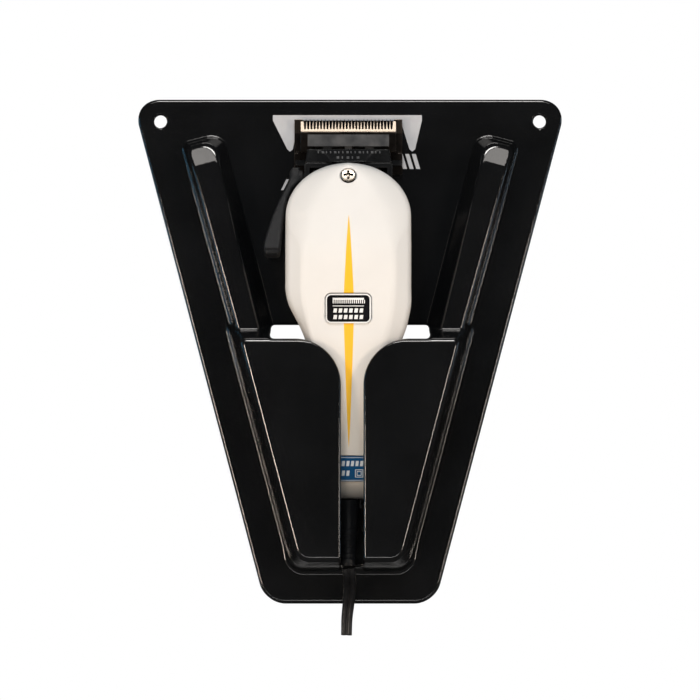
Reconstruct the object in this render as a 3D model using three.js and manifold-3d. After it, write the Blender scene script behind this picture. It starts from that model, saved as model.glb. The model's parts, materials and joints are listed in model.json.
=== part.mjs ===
// Wall-mounted clipper station: a formed holder with a corded hair clipper standing in its pocket.
// Millimetres. +X to the right seen from the front, +Y into the wall, +Z up.
// The origin is on the wall plane, in the middle of the rear edge of the holder's top rim.
import * as THREE from 'three';
import * as BufferGeometryUtils from 'three/addons/utils/BufferGeometryUtils.js';
import Module from 'manifold-3d';

const wasm = await Module();
wasm.setup();

// Holder sheet
const sheet = 2.6;
const boardTop = 1.3;
const boardBottom = -212.6;
const boardFront = -6;
const holeRow = -7.8;
const holeHalfSpacing = 80.7;
const holeRadius = 2.7;
const boardHalfAtHoles = 90;
const sideSlope = 0.2637;
const topCornerRadius = 9;
const bottomCornerRadius = 10;
const rimBend = 1.8;

// Raised ribs
const ribTop = -15.4;
const ribBottom = -112;
const ribFace = -20;
const ribOuterHalf = 7.8;
const ribInnerHalf = 11;
const ribNarrowing = 1.2;
const ribCentreInset = 23.6;
const ribOuterDraft = 2.4;
const ribInnerDraft = 4.8;

// Pocket
const pocketBaseTop = -94.4;
const pocketBaseBottom = -199.7;
const pocketFace = -46;
const pocketInset = 14.4;
const pocketSideDraft = 5.6;
const pocketTopDraft = 6.1;
const pocketBottomDraft = 7.3;
const openingHalfWidth = 33.6;
const flareHalfWidth = 24.8;
const flareBottom = -119.4;
const slotHalfWidth = 4.8;
const slotCentre = 0.9;
const flareCentre = 0.4;
const notchDepth = -7.6;
const backPlateTop = -103.5;
const backPlateLap = 5;
const backPlateThickness = 1.6;

// Clipper body
const clipperShift = -0.7;
const bodyHalfWidth = 26;
const handleHalfWidth = 14.6;
const domeTop = -26.8;
const domeBase = -49.7;
const taperStart = -77;
const taperEnd = -126;
const gripLeft = [[-76, bodyHalfWidth], [-80, bodyHalfWidth], [-86.7, 24.5], [-91, 22.4], [-95, 20.3],
  [-100, 18.2], [-108, 16.2], [-118, 15], [taperEnd, handleHalfWidth]];
const gripRight = [[-80, bodyHalfWidth], [-86, bodyHalfWidth], [-91, 25.2], [-95, 24.3], [-100, 22.6],
  [-108, 19.2], [-118, 16], [taperEnd, handleHalfWidth]];
const handleEnd = -167.3;
const parting = -24;
const housingBack = -7.2;
const neckTop = -26.6;
const neckHalfWidth = 18.5;
const shellWall = 2.2;
const noseTop = -20.5;

// Blades and drive
const fixedBladeHalfWidth = 22.9;
const cutterHalfWidth = 20.2;
const fixedTip = -7.2;
const cutterTip = -8.2;
const cutterFront = -12.6;
const bladeJoint = -9.9;
const armPivotZ = -112;
const armFront = -17.4;
const armBack = -14.9;

// Taper lever
const leverPivotY = -18.6;
const leverPivotZ = -32.8;
const leverTilt = 24;
const crankOffset = 1.6;

const group = new THREE.Group();
group.name = 'wall_clipper_station';

// Colours of each surface finish
const gloss = { color: 0x0c0d0e, roughness: 0.12, metalness: 0 };
const black = { color: 0x141516, roughness: 0.32, metalness: 0 };
const ivory = { color: 0xf3efe4, roughness: 0.22, metalness: 0 };
const grey = { color: 0x3c3e41, roughness: 0.6, metalness: 0 };
const steel = { color: 0xb9b0a2, roughness: 0.3, metalness: 0.9 };
const chrome = { color: 0xd8d8d6, roughness: 0.12, metalness: 1 };
const iron = { color: 0x5d5a57, roughness: 0.5, metalness: 0.8 };
const copper = { color: 0xb4622e, roughness: 0.35, metalness: 0.8 };
const nylon = { color: 0xcfc7b4, roughness: 0.55, metalness: 0 };
const blue = { color: 0x196ea0, roughness: 0.4, metalness: 0 };
const rubber = { color: 0x17181a, roughness: 0.55, metalness: 0 };

// ---- geometry helpers ----

function solidFrom(positions) {
  const geometry = new THREE.BufferGeometry();
  geometry.setAttribute('position', new THREE.Float32BufferAttribute(positions, 3));
  return geometry;
}

function signedVolume(positions) {
  const a = new THREE.Vector3();
  const b = new THREE.Vector3();
  const c = new THREE.Vector3();
  let total = 0;
  for (let i = 0; i < positions.length; i += 9) {
    a.fromArray(positions, i);
    b.fromArray(positions, i + 3);
    c.fromArray(positions, i + 6);
    total += a.dot(b.cross(c));
  }
  return total;
}

// Closed solid through a stack of rings; the end rings are capped, and all rings have equal counts.
function loft(rings, capPlane) {
  const positions = [];
  const flat = { x: ['y', 'z'], y: ['x', 'z'], z: ['x', 'y'] }[capPlane];
  const add = (...points) => points.forEach((p) => positions.push(p.x, p.y, p.z));
  const cap = (ring, along) => {
    const contour = ring.map((p) => new THREE.Vector2(p[flat[0]], p[flat[1]]));
    const turn = Math.sign(THREE.ShapeUtils.area(contour)) * along;
    for (const [i, j, k] of THREE.ShapeUtils.triangulateShape(contour, [])) {
      const same = Math.sign(THREE.ShapeUtils.area([contour[i], contour[j], contour[k]])) === turn;
      add(ring[i], same ? ring[j] : ring[k], same ? ring[k] : ring[j]);
    }
  };
  for (let level = 0; level + 1 < rings.length; level += 1) {
    const low = rings[level];
    const high = rings[level + 1];
    for (let i = 0; i < low.length; i += 1) {
      const j = (i + 1) % low.length;
      add(low[i], low[j], high[j], low[i], high[j], high[i]);
    }
  }
  cap(rings[0], -1);
  cap(rings[rings.length - 1], 1);
  if (signedVolume(positions) < 0) {
    for (let i = 0; i < positions.length; i += 9) {
      for (let axis = 0; axis < 3; axis += 1) {
        const keep = positions[i + 3 + axis];
        positions[i + 3 + axis] = positions[i + 6 + axis];
        positions[i + 6 + axis] = keep;
      }
    }
  }
  return solidFrom(positions);
}

function toManifold(geometry) {
  const plain = geometry.clone();
  plain.deleteAttribute('normal');
  plain.deleteAttribute('uv');
  const merged = BufferGeometryUtils.mergeVertices(plain, 1e-4);
  return new wasm.Manifold(new wasm.Mesh({
    numProp: 3,
    vertProperties: new Float32Array(merged.attributes.position.array),
    triVerts: new Uint32Array(merged.index.array),
  }));
}

function fromManifold(body) {
  const mesh = body.getMesh();
  const geometry = new THREE.BufferGeometry();
  geometry.setAttribute('position', new THREE.BufferAttribute(new Float32Array(mesh.vertProperties), 3));
  geometry.setIndex(new THREE.BufferAttribute(new Uint32Array(mesh.triVerts), 1));
  return geometry;
}

function join(...geometries) {
  return fromManifold(geometries.map(toManifold).reduce((all, next) => all.add(next)));
}

function cut(geometry, ...tools) {
  const start = toManifold(geometry);
  return fromManifold(tools.map(toManifold).reduce((left, next) => left.subtract(next), start));
}

function box(xMin, xMax, yMin, yMax, zMin, zMax) {
  const geometry = new THREE.BoxGeometry(xMax - xMin, yMax - yMin, zMax - zMin);
  geometry.translate((xMin + xMax) / 2, (yMin + yMax) / 2, (zMin + zMax) / 2);
  return geometry;
}

// Round bar between two coordinates along one axis.
function rod(axis, from, to, radius, centre, sides = 24) {
  const geometry = new THREE.CylinderGeometry(radius, radius, Math.abs(to - from), sides);
  const middle = (from + to) / 2;
  if (axis === 'x') {
    geometry.rotateZ(Math.PI / 2);
    geometry.translate(middle, centre[0], centre[1]);
  } else if (axis === 'y') {
    geometry.translate(centre[0], middle, centre[1]);
  } else {
    geometry.rotateX(Math.PI / 2);
    geometry.translate(centre[0], centre[1], middle);
  }
  return geometry;
}

// Flat outline in X and Z pushed through a depth range.
function plate(points, yMin, yMax) {
  const rings = [yMin, yMax].map((y) => points.map(([x, z]) => new THREE.Vector3(x, y, z)));
  return loft(rings, 'y');
}

// Corner points replaced by short arcs.
function roundCorners(corners, radii, steps) {
  const points = [];
  corners.forEach((corner, i) => {
    const here = new THREE.Vector2(...corner);
    const before = new THREE.Vector2(...corners[(i + corners.length - 1) % corners.length]);
    const after = new THREE.Vector2(...corners[(i + 1) % corners.length]);
    const toBefore = before.sub(here).normalize();
    const toAfter = after.sub(here).normalize();
    const halfAngle = Math.acos(toBefore.dot(toAfter)) / 2;
    const reach = radii[i] / Math.tan(halfAngle);
    const bisector = toBefore.clone().add(toAfter).normalize();
    const centre = here.clone().addScaledVector(bisector, radii[i] / Math.sin(halfAngle));
    const start = here.clone().addScaledVector(toBefore, reach).sub(centre);
    const end = here.clone().addScaledVector(toAfter, reach).sub(centre);
    const sweep = Math.atan2(start.cross(end), start.dot(end));
    for (let k = 0; k <= steps; k += 1) {
      const p = start.clone().rotateAround(new THREE.Vector2(), (sweep * k) / steps).add(centre);
      points.push([p.x, p.y]);
    }
  });
  return points;
}

// Smooth curve value through named points given as [along, value].
function through(points, along) {
  const last = points.length - 1;
  let i = 0;
  while (i < last - 1 && along < points[i + 1][0]) {
    i += 1;
  }
  const [z0, v0] = points[i];
  const [z1, v1] = points[i + 1];
  const slopeAt = (k) => {
    const a = points[Math.max(k - 1, 0)];
    const b = points[Math.min(k + 1, last)];
    return (b[1] - a[1]) / (b[0] - a[0]);
  };
  const span = z1 - z0;
  const t = Math.min(Math.max((along - z0) / span, 0), 1);
  const blend = t * t * (3 - 2 * t);
  const lead = t * (1 - t) * (1 - t) * slopeAt(i) * span;
  const trail = t * t * (t - 1) * slopeAt(i + 1) * span;
  return v0 + (v1 - v0) * blend + lead + trail;
}

function smooth(from, to, value) {
  const t = Math.min(Math.max((value - from) / (to - from), 0), 1);
  return t * t * (3 - 2 * t);
}

function span(from, to, count) {
  return Array.from({ length: count + 1 }, (unused, i) => from + ((to - from) * i) / count);
}

function addPart(name, geometry, finish, shift = clipperShift) {
  const material = new THREE.MeshStandardMaterial(finish);
  const placed = geometry.clone();
  placed.translate(shift, 0, 0);
  placed.computeVertexNormals();
  const mesh = new THREE.Mesh(placed, material);
  mesh.name = name;
  group.add(mesh);
}

// ---- holder ----

function boardHalf(z) {
  return boardHalfAtHoles - sideSlope * (holeRow - z);
}

// Tapered outline bounded by the slanted board sides moved in by sideInset.
function taperedOutline(top, bottom, sideInset, radiusTop, radiusBottom) {
  const halfTop = boardHalf(top) - sideInset;
  const halfBottom = boardHalf(bottom) - sideInset;
  const corners = [[halfTop, top], [-halfTop, top], [-halfBottom, bottom], [halfBottom, bottom]];
  return roundCorners(corners, [radiusTop, radiusTop, radiusBottom, radiusBottom], 6);
}

function atDepth(outline, y) {
  return outline.map(([x, z]) => new THREE.Vector3(x, y, z));
}

function tray(inset, front, back) {
  const levels = [[back, 0], [front + rimBend, 0], [front + rimBend * 0.3, rimBend * 0.3],
    [front, rimBend]];
  return loft(levels.map(([y, bend]) => {
    const grow = inset + bend;
    const outline = taperedOutline(boardTop - grow, boardBottom + grow, grow * 1.034,
      Math.max(topCornerRadius - grow, 1), Math.max(bottomCornerRadius - grow, 1));
    return atDepth(outline, y);
  }), 'y');
}

// Raised form with drafted sides: share is 0 at the board and 1 at the face.
function drafted(face, back, inset, outlineAt) {
  const depth = boardFront - face;
  const bend = 2.6;
  const shareAt = (y) => (boardFront - y + inset) / depth;
  const levels = [[back, shareAt(back), 0], [face + bend, shareAt(face + bend), 0],
    [face + bend * 0.3, shareAt(face + bend * 0.3), bend * 0.3], [face, 1, bend * 0.9]];
  return loft(levels.map(([y, share, round]) => atDepth(outlineAt(share, inset + round), y)), 'y');
}

function pocket(inset, face, back) {
  return drafted(face, back, inset, (share, grow) => taperedOutline(
    pocketBaseTop - share * pocketTopDraft - grow,
    pocketBaseBottom + share * pocketBottomDraft + grow,
    pocketInset + share * pocketSideDraft + grow * 1.034,
    4,
    5,
  ));
}

function rib(side, inset, face, back) {
  const lean = Math.atan(sideSlope);
  const length = (ribTop - ribBottom) / Math.cos(lean);
  return drafted(face, back, inset, (share, grow) => {
    const outer = Math.max(ribOuterHalf - share * ribOuterDraft - grow, 2.2);
    const inner = Math.max(ribInnerHalf - share * ribInnerDraft - grow, 2.2);
    const start = share * 4.2 + grow;
    const corners = [[outer, -start], [-inner, -start], [ribNarrowing - inner, -length],
      [outer - ribNarrowing, -length]];
    const outline = roundCorners(corners, [Math.min(3, outer * 0.5), inner * 0.6, 0.6, 0.6], 5);
    return outline.map(([across, down]) => {
      const x = across * Math.cos(lean) + down * Math.sin(lean);
      const z = -across * Math.sin(lean) + down * Math.cos(lean);
      return [side * (boardHalf(ribTop) - ribCentreInset + x), ribTop + z];
    });
  });
}

// Wide mouth that narrows in two quarter rounds down to the slot.
function flareOutline() {
  const edge = (side) => span(0, Math.PI / 2, 8).map((turn) => {
    const mouth = flareCentre + side * flareHalfWidth;
    const throat = slotCentre + side * slotHalfWidth;
    return [
      mouth + (throat - mouth) * Math.sin(turn),
      flareBottom + (pocketBaseTop - pocketTopDraft - flareBottom) * Math.cos(turn),
    ];
  });
  const right = [[flareCentre + flareHalfWidth, pocketBaseTop], ...edge(1)];
  const left = [[flareCentre - flareHalfWidth, pocketBaseTop], ...edge(-1)];
  return [...right, ...left.reverse()];
}

const holderOutside = join(
  tray(0, boardFront, 0),
  pocket(0, pocketFace, -4.5),
  rib(1, 0, ribFace, -4.5),
  rib(-1, 0, ribFace, -4.5),
);
const holderInside = join(
  tray(sheet, boardFront + sheet, 3),
  pocket(sheet, pocketFace + sheet, 2),
  rib(1, sheet, ribFace + sheet, 2),
  rib(-1, sheet, ribFace + sheet, 2),
);
const panelTop = pocketBaseTop - pocketTopDraft;
const openingCorners = [[openingHalfWidth, pocketBaseTop + 0.4], [-openingHalfWidth, pocketBaseTop + 0.4],
  [-openingHalfWidth, panelTop], [openingHalfWidth, panelTop]];
addPart('holder_shell', cut(
  holderOutside,
  holderInside,
  plate(roundCorners(openingCorners, [2, 2, 2, 2], 3), -60, 5),
  box(-openingHalfWidth, openingHalfWidth, pocketFace + sheet, 5, panelTop - 8, panelTop + 1),
  plate(flareOutline(), -60, -38),
  box(slotCentre - slotHalfWidth, slotCentre + slotHalfWidth, -60, notchDepth, -215, flareBottom + 1),
  rod('y', -12, 4, holeRadius, [holeHalfSpacing, holeRow], 32),
  rod('y', -12, 4, holeRadius, [-holeHalfSpacing, holeRow], 32),
), gloss, 0);

// Flat plate bonded behind the board, closing the pocket below the cut opening.
const plateFront = boardFront + sheet + 0.3;
addPart('back_plate', plate(
  taperedOutline(backPlateTop, pocketBaseBottom - backPlateLap, pocketInset - backPlateLap, 3, 6),
  plateFront,
  plateFront + backPlateThickness,
), black, 0);

// ---- clipper body shells ----

// Front of the cover along the middle line, from the dome to the handle end.
const crown = [[domeTop, -31], [-47.6, -41.6], [-63, -47.2], [-80, -46.5], [-100, -42.8], [-125, -38],
  [handleEnd, -31]];
// Back of the lower housing along the middle line.
const heel = [[neckTop, bladeJoint], [-31, bladeJoint], [-48, housingBack], [-110, housingBack],
  [handleEnd, -13.5]];

function bodyHalf(z) {
  if (z > domeBase) {
    const rise = (z - domeBase) / (domeTop + 0.2 - domeBase);
    return bodyHalfWidth * Math.sqrt(Math.max(1 - rise * rise, 0.02));
  }
  return bodyHalfWidth + (handleHalfWidth - bodyHalfWidth) * smooth(taperStart, taperEnd, z);
}

// Half width on one side of the body: the left edge turns in to the handle sooner than the right one.
function bodyEdge(side, z) {
  return z > domeBase ? bodyHalf(z) : through(side < 0 ? gripLeft : gripRight, z);
}

function housingEdge(side, z) {
  const neck = smooth(-37.5, -42, z);
  const wide = z > domeBase ? bodyHalfWidth - 2.2 * smooth(domeBase, -42, z) : bodyEdge(side, z);
  return neckHalfWidth + (wide - neckHalfWidth) * neck;
}

function ridgeHalf(z) {
  return bodyHalf(z) * (0.84 - 0.1 * smooth(-48, -62, z) + 0.02 * smooth(-80, -125, z));
}

function coverSection(z, wall, open) {
  const front = through(crown, z) + wall;
  const shoulder = parting + (front - parting) * (0.52 + 0.24 * smooth(-30, -50, z));
  const edge = (side) => {
    const half = bodyEdge(side, z) - wall;
    const ridge = Math.min(ridgeHalf(z), half * 0.92) - wall * 0.6;
    return [[half, open], [half, shoulder + 1.5], [half - 0.9, shoulder - 1.2],
      [ridge + 1.1, front + 1.5], [ridge - 1, front + 0.55], [ridge * 0.5, front + 0.12]]
      .map(([x, y]) => new THREE.Vector3(side * x, y, z));
  };
  return [...edge(1), ...edge(-1).reverse()];
}

const coverStations = [domeTop, -27.6, -29, -31, -34, -38, -42, -46, -50, -56, -63, -71, -79, -86, -94,
  -103, -112, -122, -134, -150, handleEnd];
const coverOuter = loft(coverStations.map((z) => coverSection(z, 0, parting - 0.3)), 'z');
const innerStations = coverStations.filter((z) => z < -30.5 && z > handleEnd + 3);
const coverInner = loft([...innerStations, handleEnd + shellWall].map(
  (z) => coverSection(z, shellWall, parting + 2)), 'z');

// Screw seat on the sloping facet near the dome.
const seatZ = -32.6;
const seatY = through(crown, seatZ);
const seatTilt = Math.atan((through(crown, -30) - through(crown, -36)) / 6);

function onFacet(geometry, y, z, tilt) {
  geometry.rotateX(-tilt);
  geometry.translate(0, y, z);
  return geometry;
}

// Shallow recess and matching plate lying on the sloping front.
function facePlate(halfWidth, zTop, zBottom, thickness, lift) {
  const middle = (zTop + zBottom) / 2;
  const tilt = Math.atan((through(crown, zTop) - through(crown, zBottom)) / (zTop - zBottom));
  const high = (zTop - zBottom) / 2;
  const corners = [[halfWidth, high], [-halfWidth, high], [-halfWidth, -high], [halfWidth, -high]];
  const flat = plate(roundCorners(corners, [2.4, 2.4, 2.4, 2.4], 4), lift - thickness, lift);
  return onFacet(flat, through(crown, middle), middle, tilt);
}

addPart('upper_cover', cut(
  coverOuter,
  coverInner,
  onFacet(rod('y', -6, 1.1, 3.4, [0, 0], 32), seatY, seatZ, seatTilt),
  onFacet(rod('y', -6, 9, 1.7, [0, 0], 20), seatY, seatZ, seatTilt),
  facePlate(9.6, -81.4, -94.2, 6, 0.7),
  facePlate(8.4, -148.7, -159.8, 6, 0.7),
), ivory);

function housingSection(z, wall, open) {
  const back = through(heel, z) - wall;
  const edge = (side) => {
    const half = housingEdge(side, z) - wall;
    return [[half, open], [half, back - 5], [half - 1.6, back - 1.9], [half - 5.5, back]]
      .map(([x, y]) => new THREE.Vector3(side * x, y, z));
  };
  return [...edge(1), ...edge(-1).reverse()];
}

const housingStations = [neckTop, -31, -37.5, -39.7, -42, -46, -50, -64, -77, -84, -92, -100, -108, -117,
  -126, -145, handleEnd];
const housingOuter = loft(housingStations.map((z) => housingSection(z, 0, parting)), 'z');
const cavityStations = [neckTop + 2, ...housingStations.slice(1, -1), handleEnd + shellWall];
const housingInner = loft(cavityStations.map((z) => housingSection(z, shellWall, parting - 3)), 'z');
const powerScrewSeat = [-16, -68];
const hookY = -20.5;
const hookZ = -169.6;
const hookX = 6.6;
const housingShell = cut(
  join(
    cut(housingOuter, housingInner),
    box(-fixedBladeHalfWidth + 0.3, fixedBladeHalfWidth - 0.3, -12.4, bladeJoint, neckTop - 0.6, -24),
    box(-neckHalfWidth + 1, neckHalfWidth - 1, -12.4, bladeJoint, -31, neckTop),
    rod('y', -19.6, housingBack - 1, 2, [0, armPivotZ], 20),
    box(hookX - 2, hookX + 2, hookY - 2.6, hookY + 2.6, hookZ - 2.2, handleEnd + 1),
    rod('x', 20, bodyHalfWidth - 0.1, 5, powerScrewSeat),
  ),
  rod('x', -22, -14, 2.3, [leverPivotY, leverPivotZ]),
  rod('x', 18, 30, 2.1, powerScrewSeat),
  rod('x', bodyHalfWidth - 1.8, 30, 3.8, powerScrewSeat),
  box(12, 24, -20.6, -13.4, -129, -111),
  rod('y', hookY - 5, hookY + 5, 1.35, [hookX, hookZ], 16),
  rod('y', -14, -8.6, 1.6, [13, -27.2], 16),
  rod('y', -14, -8.6, 1.6, [-13, -27.2], 16),
  rod('y', housingBack - 1.3, 0, 3.2, [0, -62], 24),
  rod('y', -14, 0, 1.6, [0, -62], 16),
);
addPart('lower_housing', housingShell, black);

// Nose over the blade drive, hollow towards the wall.
function noseSection(z, wall) {
  const share = Math.max((z - noseTop) / (neckTop + 0.3 - noseTop), 0);
  const half = 17.3 + share * 0.9 - wall;
  const front = -20.4 - share * 5.4 + wall;
  const side = [[half, wall > 0 ? -13 : armBack], [half, front + 3.6], [half - 1, front + 1.2],
    [half - 3.4, front]];
  const mirrored = side.map(([x, y]) => [-x, y]).reverse();
  return [...side, ...mirrored].map(([x, y]) => new THREE.Vector3(x, y, z));
}
addPart('nose_piece', cut(
  loft([noseTop, -22.4, -24.5, neckTop + 0.3].map((z) => noseSection(z, 0)), 'z'),
  loft([-18, -22.4, -24.5, neckTop - 2].map((z) => noseSection(z, 1.5)), 'z'),
), black);

// ---- screws ----

function crossHeadScrew(headRadius, headHeight, shaftRadius, shaftLength) {
  const profile = [[0, 0], [headRadius * 0.55, 0.02], [headRadius * 0.85, 0.3], [headRadius, 0.9],
    [headRadius, headHeight], [shaftRadius, headHeight], [shaftRadius, headHeight + shaftLength],
    [0, headHeight + shaftLength]];
  const body = new THREE.LatheGeometry(profile.map(([r, h]) => new THREE.Vector2(r, h)), 28);
  const arm = headRadius * 0.62;
  const blade = headRadius * 0.17;
  return cut(body,
    box(-arm, arm, -1, headHeight * 0.6, -blade, blade),
    box(-blade, blade, -1, headHeight * 0.6, -arm, arm));
}

function fromBehind(geometry) {
  geometry.rotateX(Math.PI);
  return geometry;
}

const coverScrew = crossHeadScrew(3.05, 1.9, 1.3, 5);
coverScrew.translate(0, -1.2, 0);
addPart('cover_screw', onFacet(coverScrew, seatY, seatZ, seatTilt), chrome);

const rearScrew = fromBehind(crossHeadScrew(2.8, 1.2, 1.2, 3));
rearScrew.translate(0, housingBack + 0.1, -62);
addPart('rear_screw', rearScrew, steel);

// ---- blades ----

// Toothed blade outline: root line, teeth pointing up, open at the lower edge.
function bladeOutline(half, bottom, root, tip, teeth, endLand, fill) {
  const points = [[-half, bottom], [-half, root + 1], [-half + 0.8, tip]];
  const pitch = (2 * (half - endLand)) / teeth;
  for (let i = 0; i < teeth; i += 1) {
    const middle = -half + endLand + pitch * (i + 0.5);
    const gap = pitch * (1 - fill);
    points.push([middle - gap * 0.75, tip], [middle - gap * 0.35, root], [middle + gap * 0.35, root],
      [middle + gap * 0.75, tip]);
  }
  points.push([half - 0.8, tip], [half, root + 1], [half, bottom]);
  return points.reverse();
}

addPart('fixed_blade', cut(
  plate(bladeOutline(fixedBladeHalfWidth, -30.6, -12.6, fixedTip, 24, 3.4, 0.66), bladeJoint + 0.2, -7.3),
  rod('y', -12, 0, 1.7, [13, -27.2], 20),
  rod('y', -12, 0, 1.7, [-13, -27.2], 20),
  rod('y', -8.6, 0, 3, [13, -27.2], 24),
  rod('y', -8.6, 0, 3, [-13, -27.2], 24),
), steel);

for (const [name, x] of [['blade_screw_left', -13], ['blade_screw_right', 13]]) {
  const screw = fromBehind(crossHeadScrew(2.7, 1.1, 1.3, 3));
  screw.translate(x, -7.35, -27.2);
  addPart(name, screw, steel);
}

addPart('cutter', cut(
  plate(bladeOutline(cutterHalfWidth, -21.4, -11.6, cutterTip, 28, 1.2, 0.62), cutterFront, bladeJoint),
  box(-1.9, 1.9, -14, -8, -20.3, -15.6),
), steel);

// ---- taper slide that carries the cutter, and its tension spring ----

const slideFront = -14.4;
const slideBack = cutterFront - 0.3;
const guardFront = -19;
const guardBack = -17.8;
const bandTop = -14.4;
const bandBottom = -19.3;
const crankY = leverPivotY - crankOffset;
const tabBottom = leverPivotZ - 3;
const tabTop = leverPivotZ + 3;
addPart('taper_slide', cut(
  join(
    box(-17.1, 17.1, slideFront, slideBack, bandBottom, bandTop),
    box(-17.1, 17.1, guardFront, guardBack, bandBottom, bandTop),
    box(-17.1, -14.3, guardBack - 0.2, slideFront + 0.2, bandBottom, bandTop),
    box(14.3, 17.1, guardBack - 0.2, slideFront + 0.2, bandBottom, bandTop),
    box(-10.7, -7.1, slideFront, slideBack, tabBottom, -16),
    box(7.1, 10.7, slideFront, slideBack, -31, -16),
    box(-10.7, -7.1, -16.4, slideBack, tabBottom, tabTop),
    box(-14.6, -7.1, -16.4, -15, tabBottom, tabTop),
    box(-14.6, -12.9, crankY - 2.3, -15, tabBottom, tabTop),
  ),
  box(-4.6, 4.6, -16, -11, -25, -15.7),
  box(-20, -10, crankY - 1.6, crankY + 2.3, leverPivotZ - 1.7, leverPivotZ + 1.7),
), iron);

function helix(radius, wire, turns, pitch) {
  const rings = span(0, turns * 2 * Math.PI, turns * 12).map((turn) => span(0, 2 * Math.PI, 6).slice(0, 6)
    .map((around) => {
      const reach = radius + wire * Math.cos(around);
      return new THREE.Vector3(
        (turn / (2 * Math.PI)) * pitch + wire * Math.sin(around),
        reach * Math.cos(turn),
        reach * Math.sin(turn),
      );
    }));
  return loft(rings, 'z');
}

// ---- vibrating drive ----

const armature = box(-6.4, 1.6, -31, armFront - 0.2, -95, -70);
addPart('drive_arm', cut(
  join(
    box(-5, 5, armFront, armBack, -116, -24),
    box(-1.5, 1.5, armFront, armBack, -25, -18.2),
    box(-1.5, 1.5, armFront, -10.6, -19.8, -18.2),
  ),
  rod('y', -20, -12, 2.35, [0, armPivotZ], 20),
), iron);
addPart('armature', armature, iron);

const yoke = box(11.6, 15.4, -29, -21, -95, -70);
const poles = [[-76, -70], [-95, -89]].map(([low, high]) => box(3.6, 15.4, -29, -21, low, high));
addPart('stator_core', join(yoke, ...poles), iron);

const bobbinHole = box(11.3, 15.7, -29.3, -20.7, -100, -60);
const bobbinTube = box(10.3, 16.7, -30.3, -19.7, -88.7, -76.3);
const flange = (low) => box(7.7, 19.3, -33.3, -18.2, low, low + 1);
addPart('coil_bobbin', cut(join(bobbinTube, flange(-88.7), flange(-77.3)), bobbinHole), nylon);
addPart('coil_winding', cut(
  box(8.2, 18.8, -32.6, -18.6, -87.4, -77.6),
  box(10.1, 16.9, -30.5, -19.5, -90, -70),
), copper);

for (const [name, side] of [['return_spring_left', -1], ['return_spring_right', 1]]) {
  const spring = helix(2.1, 0.45, 6, 2.2);
  spring.translate(side > 0 ? 6.6 : -20.4, -16.4, -52);
  addPart(name, spring, steel);
}

// ---- taper lever ----

const leverArm = [[-20.4, -29.4], [-20.4, -35.2], [-23.6, -38.6], [-25.6, -43], [-26.6, -47.5],
  [-27.3, -55], [-28.1, -63.6], [-29.4, -65.7], [-34.2, -65.6], [-35.1, -63.6], [-34.2, -58.4],
  [-31.9, -50.8], [-29.1, -43.8], [-26, -37.4], [-24.7, -34.2], [-24.6, -31], [-23.5, -29.4]];
const swing = THREE.MathUtils.degToRad(leverTilt);

function aboutLeverPivot(geometry, angle) {
  geometry.translate(0, -leverPivotY, -leverPivotZ);
  geometry.rotateX(angle);
  geometry.translate(0, leverPivotY, leverPivotZ);
  return geometry;
}

addPart('taper_lever', cut(
  join(
    aboutLeverPivot(plate(leverArm.map(([x, z]) => [x, leverPivotZ + (z - leverPivotZ) / Math.cos(swing)]),
      leverPivotY - 3.4, leverPivotY + 3.4), -swing),
    rod('x', -23.6, -19, 3.35, [leverPivotY, leverPivotZ], 28),
    rod('x', -20, -15.6, 1.9, [leverPivotY, leverPivotZ], 20),
    box(-15.7, -15.1, crankY - 1.4, leverPivotY + 1.5, leverPivotZ - 1.7, leverPivotZ + 1.7),
    rod('x', -15.2, -12.4, 1.1, [crankY, leverPivotZ], 16),
  ),
  rod('x', -40, -23.4, 2.3, [leverPivotY, leverPivotZ], 20),
  rod('x', -40, -18.8, 1.15, [leverPivotY, leverPivotZ], 16),
), grey);

const leverScrew = crossHeadScrew(1.9, 1, 0.8, 2.6);
leverScrew.rotateZ(-Math.PI / 2);
leverScrew.translate(-24.6, leverPivotY, leverPivotZ);
addPart('lever_screw', leverScrew, chrome);

// ---- controls ----

addPart('power_screw', cut(
  join(
    rod('x', bodyHalfWidth - 1.6, bodyHalfWidth, 3.4, powerScrewSeat, 24),
    rod('x', 17, bodyHalfWidth - 1, 1.7, powerScrewSeat, 20),
  ),
  box(bodyHalfWidth - 0.7, 30, -16.5, -15.5, -73, -63),
), steel);

const buttonRidges = [-122, -120, -118].map((z) => box(16, 18.2, -19, -15, z - 0.45, z + 0.45));
addPart('switch_button', join(box(13.6, 17.4, -19.8, -14.2, -124.5, -115.5), ...buttonRidges), black);
addPart('switch_block', box(3.4, 10.8, -21.5, -14.6, -134, -121), nylon);

// ---- marked plates ----

addPart('centre_badge', facePlate(9.3, -81.7, -93.9, 0.9, 0.35), gloss);
addPart('rating_plate', facePlate(8.1, -149, -159.5, 0.9, 0.35), blue);

// ---- cord end ----

const cordY = -22.5;
const reliefTop = handleEnd - 0.3;
const reliefProfile = [[0, reliefTop], [4.3, reliefTop], [4.3, reliefTop - 8], [4, reliefTop - 8.6],
  [3.9, -182], [3.5, -190], [3, -195], [2.6, -195.4], [0, -195.4]];
const relief = new THREE.LatheGeometry(reliefProfile.reverse().map(([r, z]) => new THREE.Vector2(r, z)), 24);
relief.rotateX(Math.PI / 2);
relief.translate(0, cordY, 0);
addPart('strain_relief', relief, rubber);

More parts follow.
